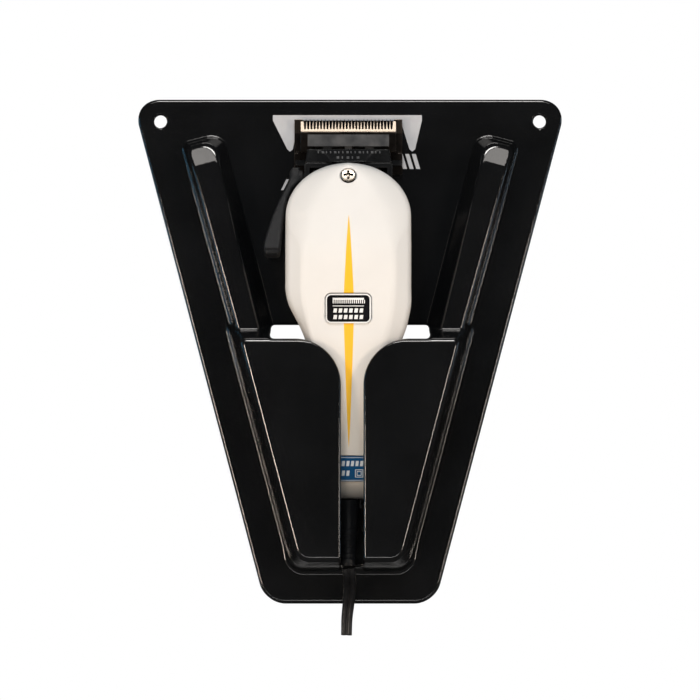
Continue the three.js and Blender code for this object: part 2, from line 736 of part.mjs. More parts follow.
// Flat twin flex leaving through the notch and lying in front of the lower flange.
const cordPath = new THREE.CatmullRomCurve3([
  new THREE.Vector3(0, cordY, -196.3),
  new THREE.Vector3(0.2, -20.8, -199.8),
  new THREE.Vector3(0.2, -14.4, -205),
  new THREE.Vector3(-0.2, -10.4, -212),
  new THREE.Vector3(-0.6, -9.2, -226),
]);
const cordRings = span(0, 1, 18).map((t) => {
  const centre = cordPath.getPoint(t);
  const along = cordPath.getTangent(t);
  const acrossDepth = new THREE.Vector3(0, -along.z, along.y).normalize();
  return span(0, 2 * Math.PI, 20).slice(0, 20).map((turn) => {
    const waist = 1.42 - 0.35 * Math.exp(-((Math.cos(turn) * 2.6) ** 2));
    const bulge = Math.sign(Math.sin(turn)) * Math.sqrt(Math.abs(Math.sin(turn)));
    const point = centre.clone();
    point.x += 2.65 * Math.cos(turn);
    return point.addScaledVector(acrossDepth, waist * bulge);
  });
});
addPart('cord', loft(cordRings, 'z'), rubber);

// Wire loop hanging from a lug beside the cord.
const hookPoints = [[-19.6, 0], [-17, 0], [-15.6, -1.6], [-15.6, -8], [-18, -10.6], [-23, -10.6],
  [-25.4, -8], [-25.4, -1.6], [-24, 0], [-21.4, 0]];
const hookCurve = new THREE.CatmullRomCurve3(
  hookPoints.map(([y, z]) => new THREE.Vector3(hookX, y, hookZ + z)),
  false,
  'catmullrom',
  0.3,
);
const hookRings = span(0, 1, 44).map((t) => {
  const centre = hookCurve.getPoint(t);
  const along = hookCurve.getTangent(t);
  const outward = new THREE.Vector3(0, -along.z, along.y).normalize();
  return span(0, 2 * Math.PI, 10).slice(0, 10).map((turn) => {
    const point = centre.clone();
    point.x += 0.85 * Math.cos(turn);
    return point.addScaledVector(outward, 0.85 * Math.sin(turn));
  });
});
addPart('hanger_hook', loft(hookRings, 'y'), chrome);

export default group;
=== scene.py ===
import json
import math

import bpy
import numpy as np
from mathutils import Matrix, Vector


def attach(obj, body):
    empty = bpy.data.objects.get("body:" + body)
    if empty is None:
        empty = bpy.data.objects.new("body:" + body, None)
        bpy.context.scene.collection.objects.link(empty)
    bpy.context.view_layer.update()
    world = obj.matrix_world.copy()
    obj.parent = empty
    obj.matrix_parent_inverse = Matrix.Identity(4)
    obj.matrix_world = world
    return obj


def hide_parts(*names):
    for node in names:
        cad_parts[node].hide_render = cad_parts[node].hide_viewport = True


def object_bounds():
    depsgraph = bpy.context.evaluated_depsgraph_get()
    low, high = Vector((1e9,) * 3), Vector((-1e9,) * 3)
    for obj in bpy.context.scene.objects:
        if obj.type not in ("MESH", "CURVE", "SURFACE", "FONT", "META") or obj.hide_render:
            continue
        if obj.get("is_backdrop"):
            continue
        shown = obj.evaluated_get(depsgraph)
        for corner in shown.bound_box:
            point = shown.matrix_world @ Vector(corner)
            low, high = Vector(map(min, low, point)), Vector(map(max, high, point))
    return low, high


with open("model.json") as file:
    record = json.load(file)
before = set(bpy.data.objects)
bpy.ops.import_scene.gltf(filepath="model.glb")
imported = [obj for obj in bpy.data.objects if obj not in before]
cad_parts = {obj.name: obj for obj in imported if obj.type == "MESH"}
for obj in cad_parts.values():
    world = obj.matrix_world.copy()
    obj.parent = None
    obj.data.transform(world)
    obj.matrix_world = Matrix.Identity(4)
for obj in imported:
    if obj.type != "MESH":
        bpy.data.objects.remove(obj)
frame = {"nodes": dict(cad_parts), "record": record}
cad_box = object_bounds()
nodes = frame["nodes"]
MM = 0.001

# ---------------------------------------------------------------- distance fields, in millimetres


def both(a, b, r):
    """Intersection of two fields with the shared edge rounded to radius r."""
    corner = np.hypot(np.maximum(a + r, 0), np.maximum(b + r, 0))
    return np.minimum(np.maximum(a, b), -r) + corner


def either(a, b, r):
    """Union of two fields with a fillet of radius r between them."""
    return -both(-a, -b, r)


def without(a, b, r):
    """Field a with field b cut away."""
    return both(a, -b, r)


def block(x, y, z, low, high, r):
    """Box between two corners with rounded edges."""
    q = []
    for value, a, b in zip((x, y, z), low, high):
        q.append(np.abs(value - (a + b) / 2) - (b - a) / 2 + r)
    outside = np.sqrt(sum(np.maximum(v, 0) ** 2 for v in q))
    return outside + np.minimum(np.maximum(np.maximum(q[0], q[1]), q[2]), 0) - r


def rectangle(u, v, half_u, half_v, r):
    """Rounded rectangle in a plane."""
    a, b = np.abs(u) - half_u + r, np.abs(v) - half_v + r
    return np.hypot(np.maximum(a, 0), np.maximum(b, 0)) + np.minimum(np.maximum(a, b), 0) - r


def barrel(along, first, second, start, end, radius, r):
    """Round bar between two places along an axis; first and second are measured from its centre."""
    return both(np.hypot(first, second) - radius, np.maximum(start - along, along - end), r)


def polygon(u, v, points):
    """Signed distance to a closed polygon in a plane."""
    best = np.full(u.shape, 1e9)
    inside = np.zeros(u.shape, bool)
    count = len(points)
    for i in range(count):
        ax, ay = points[i]
        bx, by = points[(i + 1) % count]
        ex, ey = bx - ax, by - ay
        wx, wy = u - ax, v - ay
        t = np.clip((wx * ex + wy * ey) / (ex * ex + ey * ey), 0, 1)
        best = np.minimum(best, np.hypot(wx - ex * t, wy - ey * t))
        inside ^= ((ay > v) != (by > v)) & (u < ex * (v - ay) / (by - ay + 1e-12) + ax)
    return np.where(inside, -best, best)


def ease(start, end, value):
    """Smooth step from 0 to 1 between two values."""
    t = np.clip((value - start) / (end - start), 0, 1)
    return t * t * (3 - 2 * t)


def through(points):
    """Smooth curve through points given as (along, value), as a function of along."""
    along = np.array([p[0] for p in points], float)
    value = np.array([p[1] for p in points], float)
    if along[0] > along[-1]:
        along, value = along[::-1], value[::-1]
    slope = np.gradient(value, along)
    slope[0] = (value[1] - value[0]) / (along[1] - along[0])
    slope[-1] = (value[-1] - value[-2]) / (along[-1] - along[-2])
    dense = np.linspace(along[0], along[-1], 600)
    k = np.clip(np.searchsorted(along, dense) - 1, 0, len(along) - 2)
    width = along[k + 1] - along[k]
    t = (dense - along[k]) / width
    curve = value[k] + (value[k + 1] - value[k]) * t * t * (3 - 2 * t)
    curve += width * (slope[k] * t * (1 - t) ** 2 + slope[k + 1] * t * t * (t - 1))
    before, after = slope[0], slope[-1]

    def at(z):
        inner = np.interp(z, dense, curve)
        return inner + before * np.minimum(z - along[0], 0) + after * np.maximum(z - along[-1], 0)

    return at


def surface_net(field, low, high, step):
    """Quad mesh of the zero surface of a field, with points moved onto the surface and exact normals."""
    low, high = np.array(low, float), np.array(high, float)
    count = np.ceil((high - low) / step).astype(int) + 1
    axes = [low[i] + step * np.arange(count[i]) for i in range(3)]
    values = np.empty(count, np.float32)
    for i in range(0, count[0], 16):
        x, y, z = np.meshgrid(axes[0][i:i + 16], axes[1], axes[2], indexing="ij")
        values[i:i + 16] = field(x, y, z)
    inside = values < 0
    cells = count - 1
    total = np.zeros((*cells, 3), np.float32)
    hits = np.zeros(cells, np.float32)
    crossing = []
    for axis in range(3):
        first = [slice(None)] * 3
        second = [slice(None)] * 3
        first[axis], second[axis] = slice(0, -1), slice(1, None)
        a, b = values[tuple(first)], values[tuple(second)]
        mask = inside[tuple(first)] != inside[tuple(second)]
        share = np.where(mask, a / np.where(mask, a - b, 1), 0)
        crossing.append(mask)
        others = [i for i in range(3) if i != axis]
        for d0 in (0, 1):
            for d1 in (0, 1):
                pick = [slice(0, cells[i]) for i in range(3)]
                pick[others[0]] = slice(d0, d0 + cells[others[0]])
                pick[others[1]] = slice(d1, d1 + cells[others[1]])
                m = mask[tuple(pick)]
                hits += m
                total[..., axis] += np.where(m, share[tuple(pick)], 0)
                total[..., others[0]] += m * d0
                total[..., others[1]] += m * d1
    active = hits > 0
    index = np.full(cells, -1, np.int64)
    index[active] = np.arange(active.sum())
    where = np.argwhere(active)
    points = low + step * (where + total[active] / hits[active][:, None])
    quads = []
    for axis in range(3):
        o1, o2 = (axis + 1) % 3, (axis + 2) % 3
        edges = np.argwhere(crossing[axis])
        ok = (edges[:, o1] > 0) & (edges[:, o2] > 0)
        ok &= (edges[:, o1] < cells[o1]) & (edges[:, o2] < cells[o2])
        edges = edges[ok]
        corners = []
        for s1, s2 in ((1, 1), (0, 1), (0, 0), (1, 0)):
            e = edges.copy()
            e[:, o1] -= s1
            e[:, o2] -= s2
            corners.append(index[e[:, 0], e[:, 1], e[:, 2]])
        quad = np.stack(corners, 1)
        turned = ~inside[edges[:, 0], edges[:, 1], edges[:, 2]]
        quad[turned] = quad[turned][:, ::-1]
        quads.append(quad)
    quads = np.concatenate(quads)
    quads = quads[(quads >= 0).all(1)]
    eps = 0.02
    rounds = 4

    def slope(p):
        g = np.empty_like(p)
        for i in range(3):
            d = np.zeros(3)
            d[i] = eps
            up, down = p + d, p - d
            g[:, i] = field(up[:, 0], up[:, 1], up[:, 2]) - field(down[:, 0], down[:, 1], down[:, 2])
        return g / (2 * eps)

    start = points.copy()
    for _ in range(rounds):
        g = slope(points)
        f = field(points[:, 0], points[:, 1], points[:, 2])
        move = -(f / np.maximum((g * g).sum(1), 0.1))[:, None] * g
        reach = np.linalg.norm(move, axis=1, keepdims=True)
        move *= np.minimum(1, 0.4 * step / np.maximum(reach, 1e-9))
        points = start + np.clip(points + move - start, -0.6 * step, 0.6 * step)
    g = slope(points)
    return points, quads, g / np.maximum(np.linalg.norm(g, axis=1, keepdims=True), 1e-9)


def add_mesh(name, points, faces, normals=None, smooth=True):
    """New object from points in millimetres."""
    mesh = bpy.data.meshes.new(name)
    points = np.asarray(points, np.float32) * MM
    if isinstance(faces, np.ndarray):
        mesh.vertices.add(len(points))
        mesh.vertices.foreach_set("co", points.ravel())
        mesh.loops.add(faces.size)
        mesh.loops.foreach_set("vertex_index", faces.ravel().astype(np.int32))
        mesh.polygons.add(len(faces))
        mesh.polygons.foreach_set("loop_start", np.arange(0, faces.size, faces.shape[1], dtype=np.int32))
        mesh.update(calc_edges=True)
    else:
        mesh.from_pydata([tuple(p) for p in points], [], faces)
    mesh.validate()
    mesh.polygons.foreach_set("use_smooth", [smooth] * len(mesh.polygons))
    if normals is not None and len(mesh.vertices) == len(points):
        mesh.normals_split_custom_set_from_vertices([tuple(n) for n in normals])
    obj = bpy.data.objects.new(name, mesh)
    bpy.context.scene.collection.objects.link(obj)
    return obj


def add_field(name, field, low, high, step):
    """New object from the zero surface of a field inside a box."""
    return add_mesh(name, *surface_net(field, low, high, step))


# ---------------------------------------------------------------- materials


class Surface:
    """Node material built up from a base colour, with uneven tint, roughness and height."""

    def __init__(self, name, colour, rough, metal=0.0, coat=0.0):
        self.mat = bpy.data.materials.new(name)
        self.mat.use_nodes = True
        self.tree = self.mat.node_tree
        self.shader = self.tree.nodes["Principled BSDF"]
        self.coord = self.add("ShaderNodeTexCoord").outputs["Object"]
        self.shader.inputs["Metallic"].default_value = metal
        self.shader.inputs["Coat Weight"].default_value = coat
        self.shader.inputs["Coat Roughness"].default_value = 0.04
        base = self.add("ShaderNodeRGB")
        base.outputs[0].default_value = (*colour, 1)
        self.colour = base.outputs[0]
        value = self.add("ShaderNodeValue")
        value.outputs[0].default_value = rough
        self.rough = value.outputs[0]
        self.normal = None

    def add(self, kind):
        """New node of a kind."""
        return self.tree.nodes.new(kind)

    def link(self, source, target):
        self.tree.links.new(source, target)

    def maths(self, operation, a, b=0.0, clamp=False):
        """Result of a sum on numbers or sockets."""
        node = self.add("ShaderNodeMath")
        node.operation = operation
        node.use_clamp = clamp
        for value, socket in ((a, node.inputs[0]), (b, node.inputs[1])):
            if isinstance(value, (int, float)):
                socket.default_value = value
            else:
                self.link(value, socket)
        return node.outputs[0]

    def noise(self, scale, detail=4.0, stretch=None):
        """Noise on the object's own coordinates; the scale is per metre."""
        node = self.add("ShaderNodeTexNoise")
        node.inputs["Scale"].default_value = scale
        node.inputs["Detail"].default_value = detail
        vector = self.coord
        if stretch is not None:
            mapping = self.add("ShaderNodeMapping")
            mapping.inputs["Scale"].default_value = stretch
            self.link(vector, mapping.inputs["Vector"])
            vector = mapping.outputs["Vector"]
        self.link(vector, node.inputs["Vector"])
        return node.outputs["Fac"]

    def ranged(self, value, start, end, low, high):
        """Value carried from one range to another, clamped."""
        node = self.add("ShaderNodeMapRange")
        for key, number in (("From Min", start), ("From Max", end), ("To Min", low), ("To Max", high)):
            node.inputs[key].default_value = number
        self.link(value, node.inputs["Value"])
        return node.outputs["Result"]

    def tint(self, amount, scale=45):
        """Cloudy change of brightness."""
        node = self.add("ShaderNodeHueSaturation")
        self.link(self.colour, node.inputs["Color"])
        self.link(self.ranged(self.noise(scale), 0.3, 0.7, 1 - amount, 1 + amount), node.inputs["Value"])
        self.colour = node.outputs["Color"]
        return self

    def vary(self, amount, scale=70, stretch=None):
        """Uneven roughness."""
        uneven = self.ranged(self.noise(scale, 6, stretch), 0.35, 0.7, 0, amount)
        self.rough = self.maths("ADD", self.rough, uneven, True)
        return self

    def within(self, axis, start, end):
        """Mask that rises from 0 to 1 between two places along an axis, in millimetres."""
        split = self.add("ShaderNodeSeparateXYZ")
        self.link(self.coord, split.inputs["Vector"])
        return self.ranged(split.outputs[axis], start * MM, end * MM, 0, 1)

    def over(self, mask, colour, rough=None):
        """Second colour where the mask is 1."""
        node = self.add("ShaderNodeMix")
        node.data_type = "RGBA"
        self.link(mask, node.inputs[0])
        self.link(self.colour, node.inputs[6])
        node.inputs[7].default_value = (*colour, 1)
        self.colour = node.outputs[2]
        if rough is not None:
            change = self.maths("MULTIPLY", mask, rough)
            self.rough = self.maths("ADD", self.rough, change, True)
        return self

    def bumps(self, scale, strength, distance=0.3, detail=3, stretch=None):
        """Fine height; the distance is in millimetres."""
        node = self.add("ShaderNodeBump")
        node.inputs["Strength"].default_value = strength
        node.inputs["Distance"].default_value = distance * MM
        self.link(self.noise(scale, detail, stretch), node.inputs["Height"])
        if self.normal is not None:
            self.link(self.normal, node.inputs["Normal"])
        self.normal = node.outputs["Normal"]
        return self

    def edge_wear(self, colour, amount, start=0.51, end=0.6):
        """Rubbed edges, found from how sharply the surface turns."""
        node = self.add("ShaderNodeNewGeometry")
        edge = self.ranged(node.outputs["Pointiness"], start, end, 0, amount)
        patchy = self.ranged(self.noise(160), 0.35, 0.65, 0.2, 1)
        return self.over(self.maths("MULTIPLY", edge, patchy, True), colour)

    def painted_recess_shade(self, colour, reach):
        """Painted shade in tight hollows, darkening where ambient occlusion finds them, within a reach in
        millimetres.
        """
        open_above, shut_below = 0.93, 0.6
        node = self.add("ShaderNodeAmbientOcclusion")
        node.inputs["Distance"].default_value = reach * MM
        node.samples = 8
        return self.over(self.ranged(node.outputs["AO"], open_above, shut_below, 0, 1), colour, 0.5)

    def done(self):
        """Join everything to the shader and give the material."""
        self.link(self.colour, self.shader.inputs["Base Color"])
        self.link(self.rough, self.shader.inputs["Roughness"])
        if self.normal is not None:
            self.link(self.normal, self.shader.inputs["Normal"])
        return self.mat


def paint(obj, mat):
    """Give an object one material."""
    obj.data.materials.clear()
    obj.data.materials.append(mat)


def fit(piece, slot, body, *stood_for):
    """Paint a new piece from a record slot, put it on a body and let it stand for CAD nodes."""
    paint(piece, finish[slot])
    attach(piece, body)
    if stood_for:
        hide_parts(*stood_for)
    return piece


# Clipper pieces sit a little to the left of the middle of the board.
SHIFT = -0.7
# The yellow stripe on the cover: heights, half width, how its sides curve, and its soft edge.
STRIPE_TOP, STRIPE_WIDEST, STRIPE_FOOT = -49.2, -86.6, -146.0
STRIPE_HALF = 2.3
STRIPE_SWELL = 0.75
STRIPE_OFFSET = 0.2
STRIPE_EDGE = 0.09
# Colours of the cover, the painted warmer shade down its handle, the painted grey shade at its lower end, and
# its stripe.
IVORY = (0.75, 0.72, 0.678)
HANDLE_SHADE_TONE = (0.80, 0.70, 0.585)
END_SHADE_GREY = (0.12, 0.115, 0.11)
STRIPE_YELLOW = (0.93, 0.50, 0.03)


def ivory_material():
    """Cover plastic with the printed stripe, painted warmer shade down the handle and painted grey shade at
    the lower end.
    """
    surface = Surface("ivory", IVORY, 0.36)
    surface.shader.inputs["Specular IOR Level"].default_value = 0.25
    surface.tint(0.015, 60).vary(0.14, 90)
    # Painted shade: a warmer, darker tone fades in down the handle, where it sits in the pocket.
    surface.over(surface.within("Z", -98, -135), HANDLE_SHADE_TONE)
    # Painted shade: grey fades in over the lowest end of the cover, where it turns away from the light.
    surface.over(surface.within("Z", -160, -167), END_SHADE_GREY)
    split = surface.add("ShaderNodeSeparateXYZ")
    surface.link(surface.coord, split.inputs["Vector"])
    x, z = split.outputs["X"], split.outputs["Z"]
    falling = surface.ranged(z, STRIPE_TOP * MM, STRIPE_WIDEST * MM, 0, 1)
    rising = surface.ranged(z, STRIPE_FOOT * MM, STRIPE_WIDEST * MM, 0, 1)
    swell = surface.maths("POWER", surface.maths("MINIMUM", falling, rising), STRIPE_SWELL)
    half = surface.maths("MULTIPLY", swell, STRIPE_HALF * MM)
    off = surface.maths("ABSOLUTE", surface.maths("SUBTRACT", x, (SHIFT + STRIPE_OFFSET) * MM))
    mask = surface.ranged(surface.maths("SUBTRACT", half, off), 0, STRIPE_EDGE * MM, 0, 1)
    surface.over(mask, STRIPE_YELLOW)
    return surface.bumps(420, 0.05, 0.25).bumps(2600, 0.05, 0.1).done()


def formed_material():
    """Glossy black sheet with the slight unevenness of vacuum forming."""
    surface = Surface("formed_black", (0.0045, 0.0048, 0.0052), 0.06)
    surface.shader.inputs["Specular IOR Level"].default_value = 0.9
    surface.tint(0.25).vary(0.06, 60).vary(0.05, 300)
    return surface.bumps(90, 0.05, 0.6).bumps(1200, 0.03, 0.1).done()


def steel_material():
    """Dark oiled steel, painted bright along the front of the cutting edge: ground steel there, and also a
    painted highlight of the bevel catching light from above.
    """
    dark, bright = (0.09, 0.078, 0.07), (0.50, 0.42, 0.34)
    surface = Surface("blade_steel", dark, 0.24, 1.0)
    surface.tint(0.2, 300)
    # Painted highlight: the top front of the teeth is painted bright, partly for ground steel and partly for
    # the bevel's reflection of light from above.
    above, before = surface.within("Z", -13.3, -13.0), surface.within("Y", -9.6, -9.8)
    surface.over(surface.maths("MULTIPLY", above, before), bright)
    surface.vary(0.18, 110, (1.0, 1.0, 0.12))
    return surface.bumps(1400, 0.04, 0.3, stretch=(1.0, 1.0, 0.12)).done()


def plain(name, colour, rough, metal=0.0, grain=900, bump=0.1, vary=0.1, coat=0.0, wear=None, stretch=None,
          shine=0.5, cloud=80, recess_shade=None):
    """Single-colour material with grain, cloudiness and, where given, worn edges or painted shade in hollows.
    """
    surface = Surface(name, colour, rough, metal, coat)
    surface.shader.inputs["Specular IOR Level"].default_value = shine
    surface.tint(0.12, cloud).vary(vary, cloud * 1.4, stretch)
    if wear:
        surface.edge_wear(*wear)
    if recess_shade:
        surface.painted_recess_shade(*recess_shade)
    return surface.bumps(grain, bump, 0.3, stretch=stretch).bumps(grain * 0.2, bump * 0.5, 0.5).done()


finish = {
    "formed_black": formed_material(),
    "housing_black": plain("housing_black", (0.007, 0.0074, 0.0079), 0.22, grain=1500, bump=0.05, shine=0.2,
                           wear=((0.05, 0.05, 0.05), 0.5)),
    "ivory": ivory_material(),
    "lever_grey": plain("lever_grey", (0.012, 0.0125, 0.0135), 0.36, grain=2600, bump=0.7, vary=0.2,
                        shine=0.22, cloud=500, wear=((0.05, 0.05, 0.05), 0.6)),
    "blade_steel": steel_material(),
    # Chrome gets painted shade in its hollows, such as the screws' cross recesses.
    "chrome": plain("chrome", (0.55, 0.49, 0.42), 0.22, 1.0, grain=700, bump=0.04, vary=0.12,
                    recess_shade=((0.005, 0.005, 0.005), 2.4)),
    "lamination": plain("lamination", (0.03, 0.032, 0.035), 0.4, 0.2, grain=2200, bump=0.03, vary=0.06,
                        cloud=1500, wear=((0.12, 0.12, 0.12), 0.7)),
    "copper_wire": plain("copper_wire", (0.6, 0.24, 0.1), 0.3, 0.9, grain=1800, bump=0.6,
                         stretch=(0.1, 0.1, 1.0)),
    "nylon": plain("nylon", (0.6, 0.56, 0.46), 0.45, grain=800, bump=0.15),
    "rating_blue": plain("rating_blue", (0.002, 0.075, 0.19), 0.35, grain=1200, bump=0.05, shine=0.15),
    "badge_black": plain("badge_black", (0.005, 0.005, 0.006), 0.14, grain=900, bump=0.03, coat=0.5),
    "rubber": plain("rubber", (0.007, 0.0072, 0.008), 0.28, grain=1700, bump=0.12, vary=0.15),
}
print_white = plain("print_white", (0.78, 0.77, 0.74), 0.35, grain=1500, bump=0.05)
print_grey = plain("print_grey", (0.47, 0.47, 0.475), 0.3, grain=1500, bump=0.05)

# CAD solids that stay get softened edges and the finish of their record slot.
for entry in frame["record"]["subparts"]:
    node = nodes[entry["node"]]
    for slot in node.material_slots:
        slot.material = finish[entry["material_slot"]]
    if not node.material_slots:
        node.data.materials.append(finish[entry["material_slot"]])
for name in ("taper_slide", "drive_arm", "armature", "stator_core", "coil_bobbin", "coil_winding",
             "switch_block", "back_plate"):
    soften = nodes[name].modifiers.new("soft_edges", "BEVEL")
    soften.width = 0.25 * MM
    soften.segments = 2
    soften.limit_method = "ANGLE"
    soften.angle_limit = math.radians(35)

# ---------------------------------------------------------------- holder sheet

SLOPE = 0.2637
LEAN = math.atan(SLOPE)
SHEET = 2.6
BOARD_TOP, BOARD_BOTTOM, BOARD_FACE = 1.6, -213.1, -6
POCKET_TOP, POCKET_BOTTOM, POCKET_FACE = -94.4, -198.9, -46
RIB_TOP, RIB_BOTTOM, RIB_FACE = -14.8, -108, -20
SCREW_HOLE = (80.7, -7.8)
SLOT_CENTRE, SLOT_HALF = 0.9, 4.6
OPENING_HALF = 33.6


def board_half(z):
    """Half width of the board at a height."""
    return 90 - SLOPE * (SCREW_HOLE[1] - z)


def holder_field(x, y, z):
    """One formed sheet: tray, pocket and ribs, less the opening, flare, slot, notch and screw holes."""
    ax = np.abs(x)
    side = (ax - board_half(z) - 0.4) * math.cos(LEAN)
    tray = both(both(side, z - BOARD_TOP, 11.5), BOARD_BOTTOM - z, 8.5)
    tray = both(tray, BOARD_FACE - y, 1.5)

    share = (BOARD_FACE - y) / 40
    side = (ax - (board_half(z) - 14.4 - share * 5.6)) * math.cos(LEAN)
    top = (z - POCKET_TOP + share * 5.9) * 0.988
    bottom = (POCKET_BOTTOM + share * 6.9 - z) * 0.983
    pocket = both(both(both(side, top, 3), bottom, 5), POCKET_FACE - y, 2.2)

    reach = ax - (board_half(RIB_TOP) - 23.6)
    rise = z - RIB_TOP
    outward = reach * math.cos(LEAN) - rise * math.sin(LEAN)
    down = reach * math.sin(LEAN) + rise * math.cos(LEAN)
    share = (BOARD_FACE - y) / 14
    narrow = 0.012 * down
    outer_wall = (outward - (7.7 + narrow - share * 2.4)) * 0.985
    inner_wall = (-outward - (11.0 + narrow - share * 4.8)) * 0.946
    top = (down + 0.6 + share * 4.2) * 0.958
    slope = (RIB_FACE - y + 0.4 * (down + 14.0)) * 0.928
    face = both(slope, RIB_FACE - y, 0.8)
    rib = both(both(both(top, outer_wall, 3), inner_wall, 7), face, 1.5)
    rib = both(rib, RIB_BOTTOM - z, 1)

    outer = either(either(tray, rib, 0.8), pocket, 0.8 + 1.0 * ease(-185, -196, z))
    panel = both(SLOT_HALF - np.abs(x - SLOT_CENTRE), z + 100.3, 19)
    keep = either(either(panel, OPENING_HALF - ax, 2), POCKET_TOP - z, 1.5)
    keep = np.where(z < -150, np.minimum(keep, -7.6 - y), keep)
    hole = 2.75 - np.hypot(ax - SCREW_HOLE[0], z - SCREW_HOLE[1])
    shell = both(both(outer, keep, 1.2), hole, 0.15)
    shell = both(shell, -outer - SHEET, 0.4)
    return both(shell, y, 0.3)


sheet = add_field("holder_sheet", holder_field, (-93, -48, -216), (93, 1.5, 4), 0.75)
fit(sheet, "formed_black", "holder", "holder_shell")

# ---------------------------------------------------------------- clipper shells

PARTING = -24.0
WALL = 2.2
HALF, DOME_BASE, DOME_RISE = 26, -49.7, 22.9
HANDLE_HALF, HANDLE_END = 14.6, -167.3
CROWN = through([(-30, -35.2), (-47.6, -41.6), (-63, -47.2), (-80, -46.5), (-100, -42.8), (-125, -38),
                 (-167.3, -31)])
HEEL = through([(-26.6, -9.9), (-31, -9.9), (-48, -7.2), (-110, -7.2), (-167.3, -13.5)])
HEAD_SLOPE = 0.51
GRIP_LEFT = through([(-76, 26), (-80, 26), (-86.7, 24.5), (-91, 22.4), (-95, 20.3), (-100, 18.2),
                     (-108, 16.2), (-118, 15), (-126, 14.6), (-168, 14.6)])
GRIP_RIGHT = through([(-80, 26), (-86, 26), (-91, 25.2), (-95, 24.3), (-100, 22.6), (-108, 19.2),
                      (-118, 16), (-126, 14.6), (-168, 14.6)])


def body_half(z):
    """Half width of an even-sided clipper: domed head, body, then the taper to the handle."""
    rise = np.clip((z - DOME_BASE) / DOME_RISE, 0, 1)
    taper = HALF - (HALF - HANDLE_HALF) * ease(-77, -126, z)
    return np.where(z > DOME_BASE, HALF * np.sqrt(1 - rise ** 2), taper)


def body_edge(px, z):
    """Half width on one side: the left edge turns in to the handle sooner than the right one."""
    return np.where(z > DOME_BASE, body_half(z), np.where(px < 0, GRIP_LEFT(z), GRIP_RIGHT(z)))


def body_side(px, z):
    """Distance to the outline seen from the front."""
    dome = (np.hypot(px / HALF, (z - DOME_BASE) / DOME_RISE) - 1) * 25.2
    return np.where(z > DOME_BASE, dome, (np.abs(px) - body_edge(px, z)) * 0.94)


def crown_at(z):
    """Front of the cover along the middle: the head facet, then the crown."""
    return np.maximum(-31 + HEAD_SLOPE * (z + 26.8), CROWN(z))


def on_crown(x, y, z, place, slope):
    """In-plane and height coordinates of a flat patch of the cover's front, centred at a place along Z."""
    length = math.hypot(1, slope)
    dy, dz = y - float(crown_at(np.array(place))), z - place
    return x - SHIFT, (dz + slope * dy) / length, (slope * dz - dy) / length


# Flat patches of the cover: place along Z and slope.
SEAT = (-32.6, HEAD_SLOPE)
BADGE = (-87.9, -0.165)
RATING = (-154.3, -0.166)
# Plates: half width, half height and corner radius.
BADGE_PLATE = (9.35, 6.15, 2.3)
RATING_PLATE = (8.1, 5.3, 0.7)


def cover_field(x, y, z):
    """Faceted front shell with the screw seat and the recesses for badge and label."""
    px = x - SHIFT
    ax = np.abs(px)
    half = body_edge(px, z)
    ridge = body_half(z) * (0.84 - 0.11 * ease(-48, -62, z) + 0.02 * ease(-80, -125, z))
    ridge = np.minimum(ridge, half * 0.92)
    crowned = 0.5 * np.minimum(ax / np.maximum(ridge, 1), 1.2) ** 2
    head = (-31 + HEAD_SLOPE * (z + 26.8) + crowned - y) * 0.891
    front = both(head, (CROWN(z) + crowned - y) * 0.96, 0.7)
    level = crown_at(z) + 0.5
    shoulder = PARTING + (level - PARTING) * 0.76
    run, fall = half - ridge, shoulder - level
    facet = ((ax - ridge) * fall - (y - level) * run) / np.hypot(run, fall)
    side = body_side(px, z)
    ridge_round = 6 - 5.2 * ease(-47, -64, z)
    outer = both(both(front, facet, ridge_round), side, 2.0)
    end = (-26.2 - y) * 0.8 + (-167.4 - z) * 0.6
    outer = both(both(outer, end, 1.4), HANDLE_END - z, 1.2)
    shell = both(both(outer, y - PARTING + 0.3, 0.25), -outer - WALL, 0.3)
    u, v, h = on_crown(x, y, z, *SEAT)
    shell = without(shell, both(np.hypot(u, v) - 3.45, -1.0 - h, 0.4), 0.35)
    shell = without(shell, np.hypot(u, v) - 1.7, 0.1)
    u, v, h = on_crown(x, y, z, *BADGE)
    shell = without(shell, both(rectangle(u, v, 9.45, 6.25, 2.4), -0.75 - h, 0.1), 0.25)
    u, v, h = on_crown(x, y, z, *RATING)
    shell = without(shell, both(rectangle(u, v, 8.25, 5.45, 0.8), -0.75 - h, 0.1), 0.2)
    notch = np.hypot(y - PARTING, z + 47.4) - 1.1
    return without(shell, both(notch, 24 - px, 0.1), 0.2)


cover = add_field("cover_shell", cover_field, (-28, -49, -169), (27, -23.5, -26), 0.5)
fit(cover, "ivory", "clipper", "upper_cover")

# Places shared by the housing and what it carries: heights, (y, z) axes or full places.
ARM_PIVOT = -112.0
HOOK = (6.6, -20.5, -169.6)
LEVER_PIVOT = (-18.6, -32.8)
POWER_AXIS = (-16, -68)
REAR_SCREW = -62
BLADE_SCREW = (13, -27.2)


